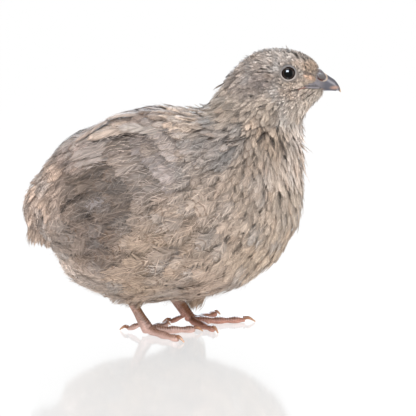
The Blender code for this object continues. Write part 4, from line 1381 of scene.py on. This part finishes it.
# Slices of each half, in tenths of a millimetre: its top (x, z), its bottom (x, z) and half of
# its width
UPPER_HORN = (
    (590, 1272, 590, 1198, 58), (652, 1273, 640, 1190, 51),
    (682, 1250, 668, 1182, 39), (706, 1234, 692, 1176, 30),
    (728, 1219, 715, 1172, 24), (744, 1200, 735, 1169, 17),
    (755, 1180, 749, 1166, 10), (760, 1163, 757, 1157, 4),
)
LOWER_HORN = (
    (600, 1186, 600, 1156, 38), (650, 1186, 655, 1164, 35),
    (690, 1180, 692, 1166, 27), (718, 1174, 720, 1166, 18),
    (738, 1170, 738, 1164, 8),
)
# The soft flap over each nostril: its middle (x, z), how it tilts, and half of its size
NOSTRIL, NOSTRIL_TILT = np.array((0.0665, 0.1239)), math.radians(-32)
FLAP_LENGTH, FLAP_THICKNESS, FLAP_HEIGHT = 0.0024, 0.00042, 0.0016


def lofted_horn(name, slices, ridge_up, rings, sides):
    """Half of the bill, round on its ridge side and flat where the halves meet."""
    table = np.array(slices) / 10000
    where = np.linspace(0, len(slices) - 1, rings)
    low = np.clip(where.astype(int), 0, len(slices) - 2)
    t = (where - low)[:, None]
    before, here = table[np.maximum(low - 1, 0)], table[low]
    after, beyond = table[low + 1], table[np.minimum(low + 2, len(slices) - 1)]
    bend = 3 * (here - after) + beyond - before
    rows = here + 0.5 * t * (after - before + t * (2 * before - 5 * here + 4 * after - beyond + t * bend))
    angle = np.linspace(0, math.pi, sides)
    across = np.sign(np.cos(angle)) * np.abs(np.cos(angle)) ** 0.85
    rise = np.sin(angle) ** 0.85
    spots = []
    for *corners, half in rows:
        top, bottom = corners[:2], corners[2:]
        flat, ridge = (bottom, top) if ridge_up else (top, bottom)
        for a, r in zip(across, rise):
            x, z = (start + (end - start) * r for start, end in zip(flat, ridge))
            spots.append((x, max(half, 0.0003) * a, z))
    faces = [tuple(range(sides)), tuple(range((rings - 1) * sides, rings * sides))]
    for i in range(rings - 1):
        for k in range(sides):
            after = (k + 1) % sides
            faces.append((i * sides + k, i * sides + after, (i + 1) * sides + after, (i + 1) * sides + k))
    mesh = bpy.data.meshes.new(name)
    mesh.from_pydata(spots, [], faces)
    piece = bpy.data.objects.new(name, mesh)
    bpy.context.scene.collection.objects.link(piece)
    bpy.ops.object.select_all(action="DESELECT")
    piece.select_set(True)
    bpy.context.view_layer.objects.active = piece
    bpy.ops.object.mode_set(mode="EDIT")
    bpy.ops.mesh.select_all(action="SELECT")
    bpy.ops.mesh.normals_make_consistent(inside=False)
    bpy.ops.object.mode_set(mode="OBJECT")
    return piece


horn, tree, shader = new_material("horn", roughness=0.45, gloss=0.22)
grained(shader, painted_colour(tree), scale=1500.0, detail=3.0, contrast=0.28, depth=0.3)

upper_bill = lofted_horn("upper_bill", UPPER_HORN, ridge_up=True, rings=40, sides=28)
for side, _ in SIDES:
    bpy.ops.mesh.primitive_uv_sphere_add(
        segments=24, ring_count=16, radius=1, location=(NOSTRIL[0], side * 0.00345, NOSTRIL[1]),
        rotation=(0, -NOSTRIL_TILT, 0),
    )
    flap = bpy.context.object
    flap.scale = (FLAP_LENGTH, FLAP_THICKNESS, FLAP_HEIGHT)
    join_into(upper_bill, flap)
remesh_and_soften(upper_bill, voxel=0.00018, factor=0.5, rounds=4)

# A slit under each flap
points, normals, _ = mesh_arrays(upper_bill)
rel = points[:, [0, 2]] - NOSTRIL
along = rel @ np.array((math.cos(NOSTRIL_TILT), math.sin(NOSTRIL_TILT)))
below = -rel @ np.array((-math.sin(NOSTRIL_TILT), math.cos(NOSTRIL_TILT)))
round_flap = np.sqrt((along / FLAP_LENGTH) ** 2 + (below / FLAP_HEIGHT) ** 2)
slit = np.clip(1.3 - np.abs(round_flap - 1.03) / 0.22, 0, 1) * np.clip(below / 0.0006, 0, 1)
slit *= np.clip((FLAP_LENGTH - np.abs(along + 0.0002)) / 0.0006, 0, 1)
points -= normals * (0.00038 * slit)[:, None]
put_back(upper_bill, points)


def one_colour(points, *rgb):
    """The same colour for every point."""
    return np.tile(linear(*rgb), (len(points), 1))


# The ridge of the upper bill: x, and z there
RIDGE_LINE = ((0.0650, 0.0682, 0.0728, 0.0760), (0.1271, 0.1248, 0.1219, 0.1163))
x, z = points[:, 0], points[:, 2]
off_painted_sheen = np.interp(x, *RIDGE_LINE) - z - 0.0020
by_the_edge = np.hypot((x - 0.0728) / 0.0024, (z - 0.1183) / 0.0010)
before_flap = np.clip(along / 0.0012 + 0.2, 0, 1)
colour = one_colour(points, 74, 72, 78)
for share, tone in (
    # A paler band along the side under the ridge: a painted sheen
    (0.9 - np.abs(off_painted_sheen) / 0.0011, (136, 131, 134)),
    ((1.2 - by_the_edge) * 0.9, (158, 124, 107)),
    ((0.0685 - x) / 0.0020 * 0.5, (112, 103, 103)),
    ((1.2 - np.abs(round_flap - 1.2) / 0.2) * before_flap, (168, 148, 130)),
    ((1.0 - round_flap) / 0.25, (80, 72, 69)),
    # The slit: dark red-brown, deepened with painted shade of the opening
    (slit * 1.6, (62, 28, 20)),
    ((x - 0.0752) / 0.0007, (196, 160, 120)),
):
    colour = blend_in(colour, share, tone)
paint_points(upper_bill, "Tint", colour)
dress(upper_bill, horn)
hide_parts("bill_upper")

lower_bill = lofted_horn("lower_bill", LOWER_HORN, ridge_up=False, rings=28, sides=20)
remesh_and_soften(lower_bill, voxel=0.00020, factor=0.5, rounds=3)
points, _, _ = mesh_arrays(lower_bill)
colour = blend_in(one_colour(points, 76, 74, 82), (0.0690 - points[:, 0]) / 0.003, (140, 120, 106))
paint_points(lower_bill, "Tint", colour)
dress(lower_bill, horn)
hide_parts("bill_lower")

# The gape swells from its back end to the bill: the share of its radius at each point
GAPE_RADIUS, GAPE_SWELL = 0.00062, (0.35, 0.6, 0.7, 0.8, 0.8)
for side, side_name in SIDES:
    bpy.ops.object.select_all(action="DESELECT")
    bpy.ops.curve.primitive_bezier_curve_add()
    gape = bpy.context.object
    gape.name = f"gape_{side_name}"
    gape.data.splines.clear()
    line = gape.data.splines.new("POLY")
    line.points.add(len(GAPE_LINE) - 1)
    for point, (x, z), swell in zip(line.points, GAPE_LINE, GAPE_SWELL):
        hit, out, _, _ = skin_tree.ray_cast(Vector((x, side * 0.1, z)), Vector((0, -side, 0)))
        hit = Vector((x, side * 0.003, z)) if hit is None else hit + out * 0.00045
        point.co = (*hit, 1)
        point.radius = swell
    gape.data.bevel_depth = GAPE_RADIUS
    gape.data.bevel_resolution = 3
    gape.data.use_fill_caps = True
    bpy.ops.object.convert(target="MESH")
    shape_by(gape, "SUBSURF", levels=2, render_levels=2)
    bpy.ops.object.shade_smooth()
    points, _, _ = mesh_arrays(gape)
    colour = blend_in(one_colour(points, 118, 112, 114), (0.0600 - points[:, 0]) / 0.0020, (118, 82, 69))
    paint_points(gape, "Tint", colour)
    dress(gape, horn)

# Feet
# Shank and toes in one skin, with overlapping horny plates down the front of the shank and the
# tops of the toes, and fine grains on the sides and soles.

TOES = ("back", "inner", "middle", "outer")

scaled_skin, tree, shader = new_material("scaled_skin", roughness=0.5, gloss=0.2)
run, top, _ = painted_numbers(tree, "Place")
plate = node(tree, "ShaderNodeMath", {"operation": "FRACT"}, [run])
number = node(tree, "ShaderNodeMath", {"operation": "FLOOR"}, [run])
spot = object_place(tree)
grain = node(tree, "ShaderNodeTexVoronoi", {"feature": "F1"}, {"Vector": spot, "Scale": 2400.0})
tone = node(tree, "ShaderNodeTexWhiteNoise", {"noise_dimensions": "1D"}, {"W": number * 1.37})
mottle = clouds(tree, scale=520.0, detail=3.0, Vector=spot)
seam = top * (plate.step(0.50, 0.80) - plate.step(0.92, 1.0))
body = scaled(painted_colour(tree), 0.50 + mottle)
body = mixed(top * (0.15 + tone * 0.45), body, solid(142, 100, 70))
body = mixed(seam * 0.9, body, solid(84, 46, 32))
body = mixed((1 - top) * grain.step(0.25, 0.75) * 0.45, body, solid(200, 160, 146))
link(body, shader, "Base Color")
bumps = top * plate.step(0.95, 0.0) * -1 + (1 - top) * grain * 0.6
relief(shader, bumps, strength=1.0, distance=0.00020)

# The plates of the shank and those of the toes: millimetres from one to the next, the way they
# face, and how far round from that way they reach
PLATES = ((1.15, (0.85, 0, 0.5), -0.05), (1.2, (0, 0, 1.0), 0.15))
# How far a plate's lower edge and a toe's joints stand out, the level of the soles, and how the
# root of the back toe is lifted, with the end of the shank beside it
PLATE_RISE, JOINT_SWELL, SOLE = 0.00028, 0.00028, 0
BACK_TOE_LIFT, ANKLE_LIFT, ANKLE_REACH = 0.0036, 0.0030, 0.0042

# Skin of the shank and of the toes: the far leg is redder, and painted darker for the bird's shade on it
FLESH = {"left": ((98, 60, 42), (152, 98, 78)), "right": ((112, 84, 69), (172, 140, 128))}
for side, side_name in SIDES:
    names = [f"shank_{side_name}"] + [f"toe_{side_name}_{toe}" for toe in TOES]
    vertices = [np.array([v.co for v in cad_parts[name].data.vertices]) for name in names]
    shank = vertices[0]
    shank_foot = shank[shank[:, 2] < shank[:, 2].min() + 0.003].mean(0)
    near = KDTree(sum(map(len, vertices)))
    middles, ways_out = [], []
    for number, spots in enumerate(vertices):
        middle = spots.mean(0)
        way = np.linalg.svd(spots - middle, full_matrices=False)[2][0]
        outward = -way[2] if number == 0 else (middle - shank_foot) @ way
        middles.append(middle)
        ways_out.append(way if outward > 0 else -way)
        for spot in spots:
            near.insert(Vector(spot), number)
    near.balance()
    foot = joined_copy(f"foot_{side_name}", names)
    remesh_and_soften(foot, voxel=0.00034, factor=0.5, rounds=5)
    points, normals, _ = mesh_arrays(foot)
    owner = np.array([near.find(Vector(p))[1] for p in points])
    run, top_side = np.zeros(len(points)), np.zeros(len(points))
    for number, (middle, way) in enumerate(zip(middles, ways_out)):
        mine = owner == number
        pitch, front, least = PLATES[min(number, 1)]
        run[mine] = (points[mine] - middle) @ way / (pitch / 1000) + 40
        top_side[mine] = np.clip((normals[mine] @ np.array(front) - least) / 0.45, 0, 1)
    joints = JOINT_SWELL * np.sin(run * 0.95) * (owner > 0) - 0.00045 * (owner == 1)
    upper = side * 0.0003 * np.clip((points[:, 2] - 0.006) / 0.004, 0, 1)
    points += normals * (PLATE_RISE * (run % 1) ** 1.5 * top_side + joints + 0.00012 + upper)[:, None]

    back_toe = points[owner == 1]
    toward_shank = np.clip((back_toe[:, 0] - back_toe[:, 0].min()) / np.ptp(back_toe[:, 0]), 0, 1)
    points[owner == 1, 2] += BACK_TOE_LIFT * toward_shank
    ankle_end = back_toe[toward_shank > 0.9].mean(0)
    beside = np.clip(1 - np.linalg.norm(points - ankle_end, axis=1) / ANKLE_REACH, 0, 1) * (owner != 1)
    points[:, 2] += ANKLE_LIFT * beside**1.5
    points[:, 2] = np.maximum(points[:, 2], SOLE)
    put_back(foot, points)
    shade = 0.9 + 0.15 * speckle(points, 0.004, 8)
    shank_skin, toe_skin = (linear(*tone) for tone in FLESH[side_name])
    high = np.clip((points[:, 2] - 0.003) / 0.005, 0, 1)[:, None]
    paint_points(foot, "Tint", (toe_skin * (1 - high) + shank_skin * high) * shade[:, None])
    paint_points(foot, "Place", np.column_stack([run, top_side, top_side]))
    dress(foot, scaled_skin)
    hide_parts(*names)

# Claws
# Curved horn, brown at the root and paler towards the point. Each root is drawn back and swelled
# to sit in the end of its toe.

claw_horn, tree, shader = new_material("claw_horn", roughness=0.35, gloss=0.25)
grained(shader, painted_colour(tree), scale=1800.0, detail=2.0, contrast=0.4, depth=0.3)

for _, side_name in SIDES:
    names = [f"claw_{side_name}_{toe}" for toe in TOES]
    claws = joined_copy(f"claws_{side_name}", names)
    shape_by(claws, "SUBSURF", levels=2, render_levels=2)
    bpy.ops.object.shade_smooth()
    points, normals, _ = mesh_arrays(claws)
    toward_tip = np.zeros(len(points))
    for name, toe in zip(names, TOES):
        low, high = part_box(name)
        toe_low, toe_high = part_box(f"toe_{side_name}_{toe}")
        middle, toe_middle = np.array((low + high) / 2), np.array((toe_low + toe_high) / 2)
        reach = np.linalg.norm(np.array(high - low)[:2]) / 2
        mine = np.linalg.norm(points - middle, axis=1) < reach * 1.3 + 0.001
        aim = (middle - toe_middle)[:2] / np.linalg.norm((middle - toe_middle)[:2])
        toward_tip[mine] = ((points[mine] - middle)[:, :2] @ aim / reach + 1) / 2
        rooted = np.clip(1 - toward_tip[mine] * 1.4, 0, 1)[:, None]
        points[mine] += normals[mine] * (0.00016 + 0.0003 * rooted) - np.array((*aim, 0)) * rooted * 0.0008
        points[mine, 2] += 0.0006 * np.sin(math.pi * np.clip(toward_tip[mine], 0, 1))
    points[:, 2] = np.maximum(points[:, 2], SOLE)
    put_back(claws, points)
    colour = blend_in(one_colour(points, 124, 80, 54), toward_tip * 1.2 - 0.30, (192, 150, 118))
    paint_points(claws, "Tint", colour)
    dress(claws, claw_horn)
    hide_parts(*names)
